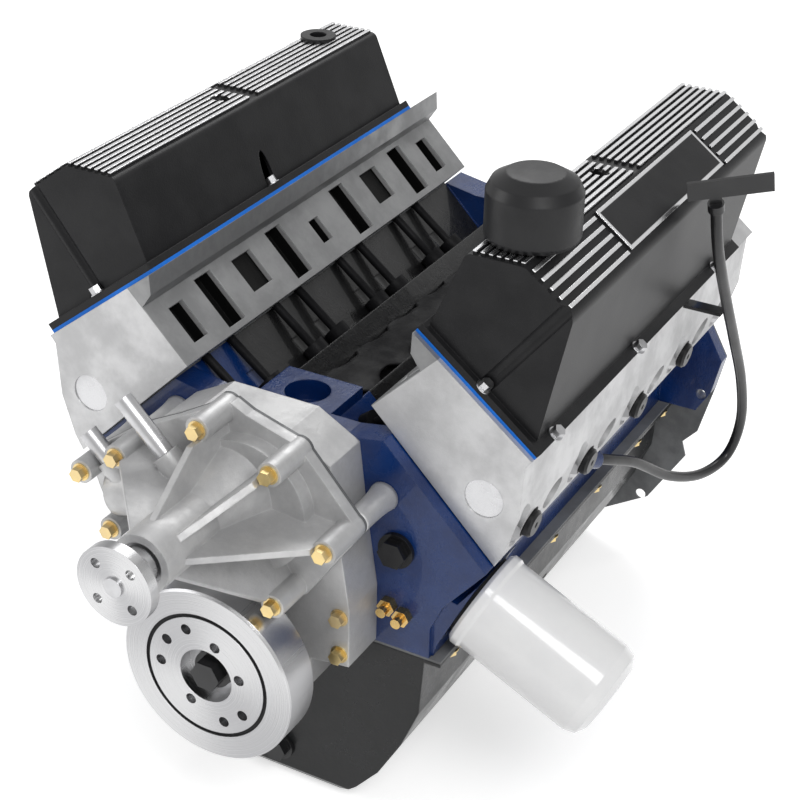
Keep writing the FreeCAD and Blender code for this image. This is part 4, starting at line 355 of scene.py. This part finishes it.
@dataclass(frozen=True)
class CoverFinish(Finish):
    """Black wrinkle paint with the tops of the ribs cut back to bright metal.

    Attributes:
        bright: The colour of the bare metal.
        polish: How much smoother the bare metal is than the paint.
        facet_level: Where the bright side plane lies along its facing, in metres.
        facing: The way that the side facet faces.
        top_level: The height of the bright top plane, in metres.
        lean: The angle in degrees that squares the side facet.
        badge_middle: Middle of the badge's place, measured square to the facet.
        badge_half: Half the size of the badge's place.
    """

    bright: Colour = (0.82, 0.82, 0.83)
    polish: float = 0.22
    facet_level: float = 0.0
    facing: Point = (0.0, 0.0, 1.0)
    top_level: float = 0.3642
    lean: float = 0.0
    badge_middle: Point = (0.0, 0.0, 0.0)
    badge_half: Point = (0.0, 0.0, 0.0)

    def material(self) -> bpy.types.Material:
        """Builds the paint with both of its bright planes."""
        material, graph, place = self.begin()
        skin = self.skin_of(graph, place)
        top = graph.group("plane_mask", {"Place": place, "Facing": (0.0, 0.0, 1.0),
                                         "Level": self.top_level}).outputs[0]
        side = graph.group("plane_mask", {"Place": place, "Facing": self.facing,
                                          "Level": self.facet_level}).outputs[0]
        badge = graph.group("box_mask", {"Place": self.leaning(graph, place, self.lean),
                                         "Middle": self.badge_middle, "Half": self.badge_half})
        side = graph.math("MULTIPLY", side, graph.math("SUBTRACT", 1.0, badge.outputs[0]))
        bare = graph.math("MAXIMUM", top, side)
        tone = skin.outputs["Tone"]
        paint = graph.mix(tone, self.shade, self.colour)
        rough = graph.math("SUBTRACT", self.roughness, graph.math("MULTIPLY", bare, self.polish))
        self.close(graph, graph.mix(bare, paint, self.bright), bare, rough,
                   graph.math("MULTIPLY", skin.outputs["Height"], graph.math("SUBTRACT", 1.0, bare)))
        return material


@dataclass(frozen=True)
class HeadFinish(Finish):
    """Cast aluminium with its intake face milled flat and painted shade in its port pockets.

    Attributes:
        milled: The milled face's darker tone.
        milled_bright: The milled face's lighter tone.
        port_shade: The near-black colour painted inside the ports as shade.
        facing: The way that the intake face looks.
        face: Where the milled skin starts along that facing, in mm.
        lean: The angle in degrees that squares the intake face.
        pocket_middle: Middle of the row of ports, measured square to the face.
        pocket_half: Half the size of that row.
    """

    milled: Colour = (0.27, 0.272, 0.275)
    milled_bright: Colour = (0.34, 0.342, 0.345)
    # Painted shade: the insides of the ports are coloured near black for the shade in them.
    port_shade: Colour = (0.012, 0.012, 0.012)
    facing: Point = (0.0, 0.0, 1.0)
    face: float = 95.35
    lean: float = 0.0
    pocket_middle: Point = (0.0, 0.0, 0.0)
    pocket_half: Point = (0.0, 0.0, 0.0)

    def material(self) -> bpy.types.Material:
        """Builds the casting, the milled face beyond one plane and the painted shade in the pockets
        behind it.
        """
        material, graph, place = self.begin()
        skin = self.skin_of(graph, place)
        tone = skin.outputs["Tone"]
        cast = graph.mix(tone, self.shade, self.colour)
        milled = graph.group("plane_mask", {"Place": place, "Facing": self.facing,
                                            "Level": self.face * MM}).outputs[0]
        shaded_pocket = graph.group("box_mask", {
            "Place": self.leaning(graph, place, self.lean), "Middle": self.pocket_middle,
            "Half": self.pocket_half}).outputs[0]
        colour = graph.mix(milled, cast, graph.mix(tone, self.milled, self.milled_bright))
        # The ports' box takes the painted shade colour.
        colour = graph.mix(shaded_pocket, colour, self.port_shade)
        rough = self.rough_of(graph, tone)
        height = graph.math("MULTIPLY", skin.outputs["Height"], graph.math("SUBTRACT", 1.0, milled))
        self.close(graph, colour, self.metallic, rough, height)
        return material


# Where the covers and heads start behind the block's front face, in mm
COVER_START = {Side.LEFT: 18.3, Side.RIGHT: -3.0}
HEAD_START = {Side.LEFT: 13.3, Side.RIGHT: -8.0}

# The cover's outboard facet, as X out from the middle and Z of its upper and lower edge, in mm
RIDGE = (201.0, 362.0)
EAVE = (243.0, 331.0)
FACET_DROP = RIDGE[1] - EAVE[1]
FACET_REACH = EAVE[0] - RIDGE[0]
FACET_LONG = math.hypot(FACET_DROP, FACET_REACH)
RIB_TOP = 2.2

# The badge's place on the facet: near and far end along Y, low and high side across, in mm
BADGE = (126.0, 329.0, 6.0, FACET_LONG - 11.0)
BADGE_RIM = 3.0
BADGE_DEPTH = 12.0

# The row of ports, painted dark as shade: its floor, its sides across the face and its run along the
# head, in mm
POCKET_FLOOR = 78.85
POCKET_SIDES = (213.0, 269.0)
POCKET_RUN = (11.0, 487.0)
POCKET_DEPTH = 12.0


def middle_and_half(*ranges: tuple[float, float]) -> tuple[Point, Point]:
    """Turns three ranges in mm into a box's middle and half size in metres."""
    middle = tuple((low + high) / 2 * MM for low, high in ranges)
    half = tuple((high - low) / 2 * MM for low, high in ranges)
    return middle, half


def cover_finish(side: Side) -> CoverFinish:
    """Sets up the paint of one bank's cover, whose outboard facet faces out and up.

    Args:
        side: The bank that the cover lies on.

    Returns:
        The cover's finish.
    """
    level = (RIDGE[0] * FACET_DROP + RIDGE[1] * FACET_REACH) / FACET_LONG
    ridge = (RIDGE[0] * FACET_REACH - RIDGE[1] * FACET_DROP) / FACET_LONG
    start = FRONT + COVER_START[side]
    near, far, low, high = BADGE
    middle, half = middle_and_half(
        (ridge + low, ridge + high), (start + near + BADGE_RIM, start + far - BADGE_RIM),
        (level - BADGE_DEPTH, level + BADGE_DEPTH))
    return CoverFinish(
        side.name.lower() + "_cover_paint", (0.017, 0.017, 0.018), (0.010, 0.010, 0.011),
        roughness=0.42, spread=0.1, skin="wrinkle_skin", grain=800.0, depth=0.08, gloss=0.2,
        facing=(FACET_DROP / FACET_LONG * side.value, 0.0, FACET_REACH / FACET_LONG),
        facet_level=(level + RIB_TOP) * MM,
        lean=-math.degrees(math.atan2(FACET_DROP, FACET_REACH)) * side.value,
        badge_middle=(middle[0] * side.value, *middle[1:]), badge_half=half)


def head_finish(side: Side) -> HeadFinish:
    """Sets up the casting of one bank's head, whose intake face looks in and up.

    Args:
        side: The bank that the head lies on.

    Returns:
        The head's finish.
    """
    start = FRONT + HEAD_START[side]
    middle, half = middle_and_half(
        POCKET_SIDES, (start + POCKET_RUN[0], start + POCKET_RUN[1]),
        (POCKET_FLOOR - POCKET_DEPTH, POCKET_FLOOR + POCKET_DEPTH))
    return HeadFinish(
        side.name.lower() + "_head_casting", (0.66, 0.66, 0.665), (0.52, 0.52, 0.525),
        metallic=0.55, roughness=0.40, spread=0.14, grain=900.0, depth=0.16, gloss=0.15,
        facing=(-BANK * side.value, 0.0, BANK), lean=45.0 * side.value,
        pocket_middle=(middle[0] * side.value, *middle[1:]), pocket_half=half)


@dataclass(frozen=True)
class BlockFinish(Finish):
    """Blue block paint that stops at the valley, which is painted near black as shade.

    Attributes:
        iron: The near-black colour painted into the valley as shade.
        valley_middle: Middle of the valley's box.
        valley_half: Half the size of the valley's box.
    """

    # Painted shade: this colour stands in for the shade that falls in the valley between the banks.
    iron: Colour = (0.010, 0.010, 0.0105)
    valley_middle: Point = (0.0, -0.241, 0.2)
    valley_half: Point = (0.108, 0.197, 0.099)

    def material(self) -> bpy.types.Material:
        """Builds the paint and the painted shade of the valley between the banks."""
        material, graph, place = self.begin()
        skin = self.skin_of(graph, place)
        tone = skin.outputs["Tone"]
        # The valley box is painted near black as the shade between the banks.
        valley = graph.group("box_mask", {"Place": place, "Middle": self.valley_middle,
                                          "Half": self.valley_half}).outputs[0]
        colour = graph.mix(valley, graph.mix(tone, self.shade, self.colour), self.iron)
        self.close(graph, colour, self.metallic, self.rough_of(graph, tone), skin.outputs["Height"])
        return material


@dataclass(frozen=True)
class PlugFinish(Finish):
    """Black plug cap over a white insulator with one blue band, told apart along the plug's axis.

    Attributes:
        insulator: The insulator's colour.
        band: The band's colour.
        along: The way that a left plug points.
        root: Where a plug starts along that way, in mm.
        reaches: Where the band starts and ends and the cap starts, past the root, in mm.
    """

    insulator: Colour = (0.78, 0.78, 0.78)
    band: Colour = (0.010, 0.060, 0.30)
    along: Point = (0.9848, 0.0, -0.1736)
    root: float = 168.4
    reaches: tuple[float, float, float] = (4.5, 7.0, 10.0)

    def material(self) -> bpy.types.Material:
        """Builds the cap, the insulator and its band for both banks, told by how far X is out."""
        material, graph, place = self.begin()
        skin = self.skin_of(graph, place)
        either = graph.vector("ABSOLUTE", place).outputs[0]
        masks = [graph.group("plane_mask", {"Place": either, "Facing": self.along,
                                            "Level": (self.root + reach) * MM}).outputs[0]
                 for reach in self.reaches]
        colour = graph.mix(masks[0], self.insulator, self.band)
        colour = graph.mix(masks[1], colour, self.insulator)
        colour = graph.mix(masks[2], colour, self.colour)
        self.close(graph, colour, self.metallic, self.roughness, skin.outputs["Height"])
        return material


@dataclass(frozen=True)
class FittingFinish(Finish):
    """Brass fittings low on the block, with the black pipe plug above them.

    Attributes:
        plug: The pipe plug's colour.
        plug_level: The height above which the plug lies, in metres.
    """

    plug: Colour = (0.010, 0.010, 0.011)
    plug_level: float = 0.068

    def material(self) -> bpy.types.Material:
        """Builds the brass and the black of the plug above one level."""
        material, graph, place = self.begin()
        skin = self.skin_of(graph, place)
        tone = skin.outputs["Tone"]
        upper = graph.group("plane_mask", {"Place": place, "Facing": (0.0, 0.0, 1.0),
                                           "Level": self.plug_level}).outputs[0]
        colour = graph.mix(upper, graph.mix(tone, self.shade, self.colour), self.plug)
        self.close(graph, colour, graph.math("SUBTRACT", 1.0, upper), self.roughness,
                   skin.outputs["Height"])
        return material


CASTING = Finish("bright_casting", (0.60, 0.60, 0.60), (0.46, 0.46, 0.465), metallic=0.55,
                 roughness=0.40, spread=0.15, grain=900.0, depth=0.18, edge=1.6)
BLUE = BlockFinish("blue_block_paint", (0.0022, 0.0300, 0.1500), (0.0012, 0.0160, 0.0900),
                   roughness=0.26, grain=500.0, depth=0.34, coat=0.4, edge=1.8)
PAN_BLACK = Finish("satin_pan_black", (0.010, 0.0105, 0.0115), (0.006, 0.0065, 0.007),
                   roughness=0.26, grain=420.0, depth=0.10, coat=0.15, edge=3.0, gloss=0.25)
# Painted shade: the parts down in the valley are coloured near black for the shade that falls there.
VALLEY_SHADE_BLACK = Finish("valley_painted_shade", (0.012, 0.012, 0.013), (0.006, 0.006, 0.007),
                      roughness=0.42, spread=0.2, grain=400.0, depth=0.3, gloss=0.1)
GASKET_BLUE = Finish("blue_cover_gasket", (0.006, 0.190, 0.760), (0.005, 0.150, 0.62),
                     roughness=0.42, spread=0.1, depth=0.05, edge=0.3)
GASKET_GREY = Finish("grey_sheet_gasket", (0.20, 0.205, 0.21), (0.15, 0.152, 0.156),
                     roughness=0.7, spread=0.1, grain=1200.0, depth=0.06, edge=0.3)
GOLD = Finish("yellow_zinc", (0.78, 0.60, 0.27), (0.70, 0.55, 0.30), metallic=1.0,
              roughness=0.28, grain=900.0, depth=0.04, edge=0.4)
STEEL = Finish("bright_steel", (0.60, 0.60, 0.61), (0.48, 0.48, 0.49), metallic=1.0,
               roughness=0.26, grain=900.0, depth=0.03, edge=0.4)
IRON = Finish("machined_iron", (0.34, 0.335, 0.33), (0.25, 0.245, 0.24), metallic=0.9,
              roughness=0.42, spread=0.15, depth=0.08)
DAMPER = Finish("turned_damper", (0.60, 0.60, 0.605), (0.40, 0.40, 0.41), metallic=1.0,
                roughness=0.22, spread=0.14, skin="turned_skin", grain=2600.0, depth=0.05, edge=0.6)
HUB = Finish("turned_hub", (0.62, 0.62, 0.625), (0.42, 0.42, 0.43), metallic=1.0,
             roughness=0.22, spread=0.14, skin="turned_skin", grain=2600.0, depth=0.05, edge=0.5,
             centre=(0.0, 156.0))
RUBBER = Finish("black_rubber", (0.014, 0.014, 0.015), (0.010, 0.010, 0.011),
                roughness=0.55, grain=1200.0, depth=0.05, edge=0.8, gloss=0.2)
CAP_BLACK = Finish("moulded_black", (0.016, 0.016, 0.017), (0.011, 0.011, 0.012),
                   roughness=0.36, spread=0.1, grain=1600.0, depth=0.05, edge=2.0)
FILTER_WHITE = Finish("white_filter_enamel", (0.90, 0.90, 0.90), (0.86, 0.86, 0.865),
                      roughness=0.22, spread=0.05, grain=300.0, depth=0.02, coat=0.6, edge=2.0)
BRASS = FittingFinish("fitting_brass", (0.72, 0.50, 0.20), (0.60, 0.41, 0.16), metallic=1.0,
                      roughness=0.26, grain=900.0, depth=0.03, edge=0.4)
PLATE_GREY = Finish("phosphated_plate", (0.20, 0.205, 0.21), (0.14, 0.143, 0.147), metallic=0.6,
                    spread=0.15, grain=500.0, depth=0.05, edge=0.5)
PLUG = PlugFinish("plug_cap_and_insulator", (0.012, 0.012, 0.013), (0.009, 0.009, 0.010),
                  roughness=0.34, spread=0.1, grain=1100.0, depth=0.04, edge=0.5)
BLACK_PAINT = Finish("black_enamel", (0.014, 0.014, 0.015), (0.010, 0.010, 0.011),
                     roughness=0.34, spread=0.1, depth=0.05, coat=0.3, edge=0.6)
GREY_METAL = Finish("bearing_grey", (0.42, 0.42, 0.43), (0.34, 0.34, 0.35), metallic=0.9,
                    roughness=0.35, grain=800.0, depth=0.03)

DRESS: dict[Finish, tuple[str, ...]] = {
    CASTING: ("timing_cover", "water_pump_housing"),
    BLUE: ("engine_block",),
    PAN_BLACK: ("oil_pan",),
    VALLEY_SHADE_BLACK: ("cam_bearings", "lifters", "pushrods", "rocker_arms", "rocker_studs"),
    GASKET_BLUE: ("valve_cover_gaskets",),
    GASKET_GREY: ("head_gaskets", "oil_pan_gasket"),
    GOLD: ("front_cover_bolts", "oil_pan_bolts"),
    STEEL: ("camshaft", "cam_sprocket", "crank_sprocket", "timing_chain", "heater_tubes", "head_bolts",
            "main_cap_bolts", "pump_shaft", "valves", "valve_springs", "spring_retainers", "wrist_pins",
            "valve_cover_bolts", "core_plugs"),
    IRON: ("crankshaft", "main_bearing_caps", "connecting_rods", "oil_pump", "pump_impeller"),
    DAMPER: ("damper_hub", "damper_ring"),
    HUB: ("pump_hub",),
    RUBBER: ("crankshaft_seals", "damper_rubber", "oil_filter_seal"),
    PLUG: ("spark_plugs",),
    CAP_BLACK: ("breather_cap", "cover_grommet"),
    FILTER_WHITE: ("oil_filter",),
    BRASS: ("block_fittings",),
    PLATE_GREY: ("block_plate", "water_pump_backplate", "rear_seal_housing"),
    BLACK_PAINT: ("dipstick_tube", "tube_bracket", "crank_bolt", "dipstick", "drain_plug"),
    GREY_METAL: ("main_bearing_shells", "pistons", "pump_bearing"),
    cover_finish(Side.LEFT): ("left_valve_cover",),
    cover_finish(Side.RIGHT): ("right_valve_cover",),
    head_finish(Side.LEFT): ("left_cylinder_head",),
    head_finish(Side.RIGHT): ("right_cylinder_head",),
}


def surface(name: str, grid: np.ndarray, finish: Finish) -> bpy.types.Object:
    """Makes a closed mesh from a grid of rings: each ring is joined to the next, and both ends are shut.

    Args:
        name: The piece's name.
        grid: Points in metres, one row per ring, all rings with the same number of points.
        finish: The finish that it takes.

    Returns:
        The new piece, smooth and facing outwards.
    """
    rings, sides = grid.shape[:2]
    ring = np.arange(sides)
    onward = np.roll(ring, -1)
    rows = (np.arange(rings - 1) * sides)[:, None]
    walls = np.stack([rows + ring, rows + onward, rows + sides + onward, rows + sides + ring], -1)
    points = np.vstack([grid.reshape(-1, 3), grid[0].mean(0), grid[-1].mean(0)])
    first, last = rings * sides, rings * sides + 1
    ends = [np.stack([np.full(sides, first), onward, ring], -1),
            np.stack([np.full(sides, last), (rings - 1) * sides + ring,
                      (rings - 1) * sides + onward], -1)]
    faces = walls.reshape(-1, 4).tolist() + np.vstack(ends).tolist()
    mesh = bpy.data.meshes.new(name)
    mesh.from_pydata(points.tolist(), [], faces)
    away = grid - grid[0].mean(0)
    volume = float((np.cross(away[:-1], away[1:, onward]) * away[1:]).sum())
    if volume > 0:
        mesh.flip_normals()
    mesh.shade_smooth()
    mesh.materials.append(finish.material())
    piece = bpy.data.objects.new(name, mesh)
    bpy.context.scene.collection.objects.link(piece)
    return piece


def smooth_path(points: Sequence[Point], steps: int) -> np.ndarray:
    """Carries a smooth line through points, each stretch a cubic that leaves along its neighbours.

    Args:
        points: The points that the line passes.
        steps: Places on each stretch.

    Returns:
        The places along the line, one row each.
    """
    held = np.array([points[0], *points, points[-1]], float)
    share = np.linspace(0.0, 1.0, steps, endpoint=False)[None, :, None]
    before, start, end, after = (held[k:len(held) - 3 + k][:, None] for k in range(4))
    curve = 0.5 * (2 * start + (end - before) * share
                   + (2 * before - 5 * start + 4 * end - after) * share ** 2
                   + (3 * start - before - 3 * end + after) * share ** 3)
    return np.vstack([curve.reshape(-1, 3), held[-1]])


@dataclass
class DipstickTube:
    """The bent steel tube of the dipstick, smooth where the solid has mitred bends.

    Attributes:
        radius: The tube's radius in mm.
        sides: Points round the tube.
        steps: Rings on each stretch between two points of the path.
        finish: The tube's finish.
        path: Points that its middle passes, in mm, with Y measured from the block's front face.
    """

    radius: float = 5.0
    sides: int = 24
    steps: int = 14
    finish: Finish = BLACK_PAINT
    path: tuple[Point, ...] = (
        (262.0, 268.0, 330.0), (262.0, 285.0, 287.0), (259.0, 333.0, 219.0), (256.0, 376.0, 164.0),
        (252.0, 432.0, 89.0), (247.0, 464.0, 27.0), (238.0, 462.0, -14.0), (226.0, 424.0, -20.0),
        (212.0, 370.0, 2.0), (198.0, 310.0, 44.0), (188.0, 268.0, 66.0), (181.5, 250.0, 74.0))

    def build(self) -> None:
        """Carries a circle along the smooth path, each ring's first point as far along X as it can be."""
        line = smooth_path(self.path, self.steps) + (0.0, FRONT, 0.0)
        ahead = np.gradient(line, axis=0)
        ahead /= np.linalg.norm(ahead, axis=1)[:, None]
        side = np.cross(ahead, np.cross((1.0, 0.0, 0.0), ahead))
        side /= np.linalg.norm(side, axis=1)[:, None]
        over = np.cross(ahead, side)
        turn = np.linspace(0.0, 2 * math.pi, self.sides, endpoint=False)[None, :, None]
        grid = line[:, None] + self.radius * (np.cos(turn) * side[:, None] + np.sin(turn) * over[:, None])
        tube = surface("smooth_dipstick_tube", grid * MM, self.finish)
        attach(tube, "long_block")
        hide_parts("dipstick_tube")
        LOG.info("dipstick tube: %d rings", len(line))


@dataclass
class CaseColumns:
    """The cast columns that carry the pump's bolts on back to the block.

    Attributes:
        radius: Each column's radius in mm.
        foot: Its radius where it meets the block.
        flare: The power by which the radius widens into the foot.
        front: Where it starts, measured from the block's front face.
        back: Where it ends, measured the same way.
        sides: Points round a column.
        rings: Rings along it.
        places: Each column's name, X and Z.
        finish: The columns' finish.
    """

    radius: float = 10.5
    foot: float = 13.0
    flare: int = 4
    front: float = -46.0
    back: float = -0.4
    sides: int = 28
    rings: int = 16
    places: tuple[tuple[str, float, float], ...] = (
        ("right_low", -117.0, 83.0), ("right_outer", -136.0, 138.0), ("right_upper", -96.0, 167.0),
        ("left_upper", 101.0, 145.0))
    finish: Finish = CASTING

    def build(self) -> None:
        """Turns each column: its radius widens into the foot as a power of the way along."""
        share = np.linspace(0.0, 1.0, self.rings)[:, None]
        radius = self.radius + (self.foot - self.radius) * share ** self.flare
        turn = np.linspace(0.0, 2 * math.pi, self.sides, endpoint=False)[None, :]
        station = FRONT + self.front + (self.back - self.front) * share
        for name, across, rise in self.places:
            grid = np.stack(np.broadcast_arrays(
                across + radius * np.cos(turn), station, rise + radius * np.sin(turn)), -1)
            column = surface("case_column_" + name, grid * MM, self.finish)
            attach(column, "long_block")
        LOG.info("case columns: %d", len(self.places))


@dataclass
class LifterTray:
    """The pressed tray down the middle of the valley, waisted between its pairs of arms.

    Attributes:
        near: Where the tray starts behind the block's front face, in mm.
        far: Where it ends.
        narrow: Half its width at a waist.
        wide: Half its width at its arms.
        height: The height of its middle.
        dip: How far the tips of its arms hang down.
        thick: The sheet's thickness.
        pitch: The way from one pair of arms to the next.
        rings: Rings along the tray.
        points: Points across its top.
        finish: The tray's finish.
    """

    near: float = 40.0
    far: float = 470.0
    narrow: float = 16.0
    wide: float = 30.0
    height: float = 168.0
    dip: float = 5.0
    thick: float = 1.6
    pitch: float = 55.6
    rings: int = 180
    points: int = 13
    finish: Finish = VALLEY_SHADE_BLACK

    def build(self) -> None:
        """Builds the sheet: its half width and its sag both follow a cosine along the valley."""
        along = np.linspace(self.near, self.far, self.rings)[:, None]
        wave = 0.5 - 0.5 * np.cos((along - self.near) / self.pitch * 2 * math.pi)
        share = np.linspace(-1.0, 1.0, self.points)[None, :]
        half = self.narrow + (self.wide - self.narrow) * wave ** 2
        rise = self.height - self.dip * share ** 2 * wave
        top = np.stack(np.broadcast_arrays(half * share, FRONT + along, rise), -1)
        below = (top - (0.0, 0.0, self.thick))[:, ::-1]
        tray = surface("lifter_tray", np.concatenate([top, below], axis=1) * MM, self.finish)
        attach(tray, "long_block")
        LOG.info("lifter tray: %.0f mm long", self.far - self.near)


def dress_nodes() -> None:
    """Gives every node of the frame its finish."""
    dressed = set()
    for finish, names in DRESS.items():
        material = finish.material()
        for name in names:
            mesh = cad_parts[name].data
            mesh.materials.clear()
            mesh.materials.append(material)
            dressed.add(name)
    bare = set(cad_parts) - dressed
    LOG.info("dressed %d nodes, bare %s", len(dressed), sorted(bare))


@dataclass(frozen=True)
class Lamp:
    """One soft lamp.

    Attributes:
        name: The lamp's name.
        place: Where it hangs, in metres.
        aim: The point that it faces.
        size: Its width and height.
        power: Its power in watts.
    """

    name: str
    place: Point
    aim: Point
    size: tuple[float, float]
    power: float

    def hang(self) -> None:
        """Adds the lamp to the scene, turned to its aim."""
        light = bpy.data.lights.new(self.name, "AREA")
        light.shape = "RECTANGLE"
        light.size, light.size_y = self.size
        light.energy = self.power
        lamp = bpy.data.objects.new(self.name, light)
        lamp.location = self.place
        lamp.rotation_euler = Matrix(looking(np.subtract(self.aim, self.place))).to_euler()
        bpy.context.scene.collection.objects.link(lamp)


@dataclass
class Studio:
    """A pale floor, soft lamps, a plain sky and the camera that took the photograph.

    Attributes:
        floor_size: The floor's width in metres.
        floor_gap: How far the floor lies under the engine.
        floor_colour: The floor's colour.
        floor_glow: The light that the floor adds where it is seen.
        sky: The sky's strength on the engine.
        gloss_share: How much of the white sky reflections show.
        eye: Where the camera stands.
        right: The camera's way to the right.
        down: The camera's way down.
        ahead: The way that it looks.
        lens: Its focal length in mm.
        sensor: The width of its film in mm.
        shift: How far its lens is shifted.
        clip: The nearest and the farthest that it sees, in metres.
        lamps: The lamps.
    """

    floor_size: float = 30.0
    floor_gap: float = 0.0005
    floor_colour: Colour = (0.90, 0.90, 0.90)
    floor_glow: float = 0.55
    sky: float = 0.42
    gloss_share: float = 0.5
    eye: Point = (0.71511, -1.65419, 0.95889)
    right: Point = (0.8756361437, 0.4825351826, 0.0205217302)
    down: Point = (0.2526569658, -0.4214454085, -0.8709467408)
    ahead: Point = (-0.4116136556, 0.7678174035, -0.4909487074)
    lens: float = 85.24
    sensor: float = 36.0
    shift: tuple[float, float] = (0.0025, -0.0036)
    clip: tuple[float, float] = (0.05, 100.0)
    lamps: tuple[Lamp, ...] = (
        Lamp("key", (1.6, -1.8, 2.2), (0.0, -0.3, 0.1), (1.4, 1.0), 34.0),
        Lamp("fill", (-2.0, -1.6, 1.2), (0.0, -0.3, 0.1), (1.2, 1.2), 13.0),
        Lamp("rear", (-0.6, 1.8, 2.4), (0.0, -0.3, 0.2), (1.8, 0.9), 26.0))

    def floor(self, height: float) -> None:
        """Lays the floor, which glows white only where the camera or a reflection sees it.

        Args:
            height: The floor's Z in metres.
        """
        half = self.floor_size / 2
        corners = [(-half, -half, height), (half, -half, height), (half, half, height),
                   (-half, half, height)]
        mesh = bpy.data.meshes.new("floor")
        mesh.from_pydata(corners, [], [(0, 1, 2, 3)])
        material = bpy.data.materials.new("floor")
        material.use_nodes = True
        material.node_tree.nodes.clear()
        graph = Graph(material.node_tree)
        ray = graph.add("LightPath")
        either = graph.math("ADD", ray.outputs["Is Camera Ray"], ray.outputs["Is Glossy Ray"])
        seen = graph.math("MINIMUM", 1.0, either)
        matte = graph.add("BsdfDiffuse", {"Color": (*self.floor_colour, 1.0)})
        glow = graph.add("Emission", {"Color": (1.0, 1.0, 1.0, 1.0), "Strength": self.floor_glow})
        both = graph.add("AddShader", {0: matte.outputs[0], 1: glow.outputs[0]})
        pick = graph.add("MixShader", {0: seen, 1: matte.outputs[0], 2: both.outputs[0]})
        graph.add("OutputMaterial", {0: pick.outputs[0]})
        mesh.materials.append(material)
        floor = bpy.data.objects.new("floor", mesh)
        bpy.context.scene.collection.objects.link(floor)

    def air(self) -> None:
        """Makes the plain sky: white to the camera and in reflections, and soft light on the engine."""
        world = bpy.data.worlds.new("plain_sky")
        world.use_nodes = True
        world.node_tree.nodes.clear()
        graph = Graph(world.node_tree)
        ray = graph.add("LightPath")
        mirrored = graph.math("MULTIPLY", ray.outputs["Is Glossy Ray"], self.gloss_share)
        through = graph.math("ADD", ray.outputs["Is Transmission Ray"], mirrored)
        seen = graph.math("MINIMUM", 1.0, graph.math("ADD", ray.outputs["Is Camera Ray"], through))
        strength = graph.span(seen, 0.0, 1.0, self.sky, 1.0)
        sky = graph.add("Background", {"Color": (1.0, 1.0, 1.0, 1.0), "Strength": strength})
        graph.add("OutputWorld", {0: sky.outputs[0]})
        bpy.context.scene.world = world

    def camera(self) -> None:
        """Sets up the camera from the view that was solved on the photograph."""
        data = bpy.data.cameras.new("photo_view")
        data.sensor_width = self.sensor
        data.lens = self.lens
        data.shift_x, data.shift_y = self.shift
        data.clip_start, data.clip_end = self.clip
        turn = np.array([self.right, np.negative(self.down), np.negative(self.ahead)]).T
        eye = bpy.data.objects.new("photo_view", data)
        eye.matrix_world = Matrix.Translation(self.eye) @ Matrix(turn.tolist()).to_4x4()
        bpy.context.scene.collection.objects.link(eye)
        bpy.context.scene.camera = eye

    def build(self) -> None:
        """Builds the whole studio round the engine."""
        self.floor(CAD_BOX[0][2] - self.floor_gap)
        self.air()
        for lamp in self.lamps:
            lamp.hang()
        self.camera()
        bpy.context.scene.view_settings.view_transform = "Standard"


def looking(way: Sequence[float]) -> list[list[float]]:
    """Finds the turn that points a lamp's minus Z along a way, with its Y kept upward.

    Args:
        way: The way to point.

    Returns:
        The turn as the rows of a matrix.
    """
    back = -np.asarray(way, float) / np.linalg.norm(way)
    right = np.cross((0.0, 0.0, 1.0), back)
    right /= np.linalg.norm(right)
    return np.array([right, np.cross(back, right), back]).T.tolist()


def main() -> None:
    """Builds every piece in turn and reports each one."""
    logging.basicConfig(level=logging.INFO, format="%(message)s")
    dress_nodes()
    DipstickTube().build()
    LifterTray().build()
    CaseColumns().build()
    Studio().build()


if __name__ == "__main__":
    main()
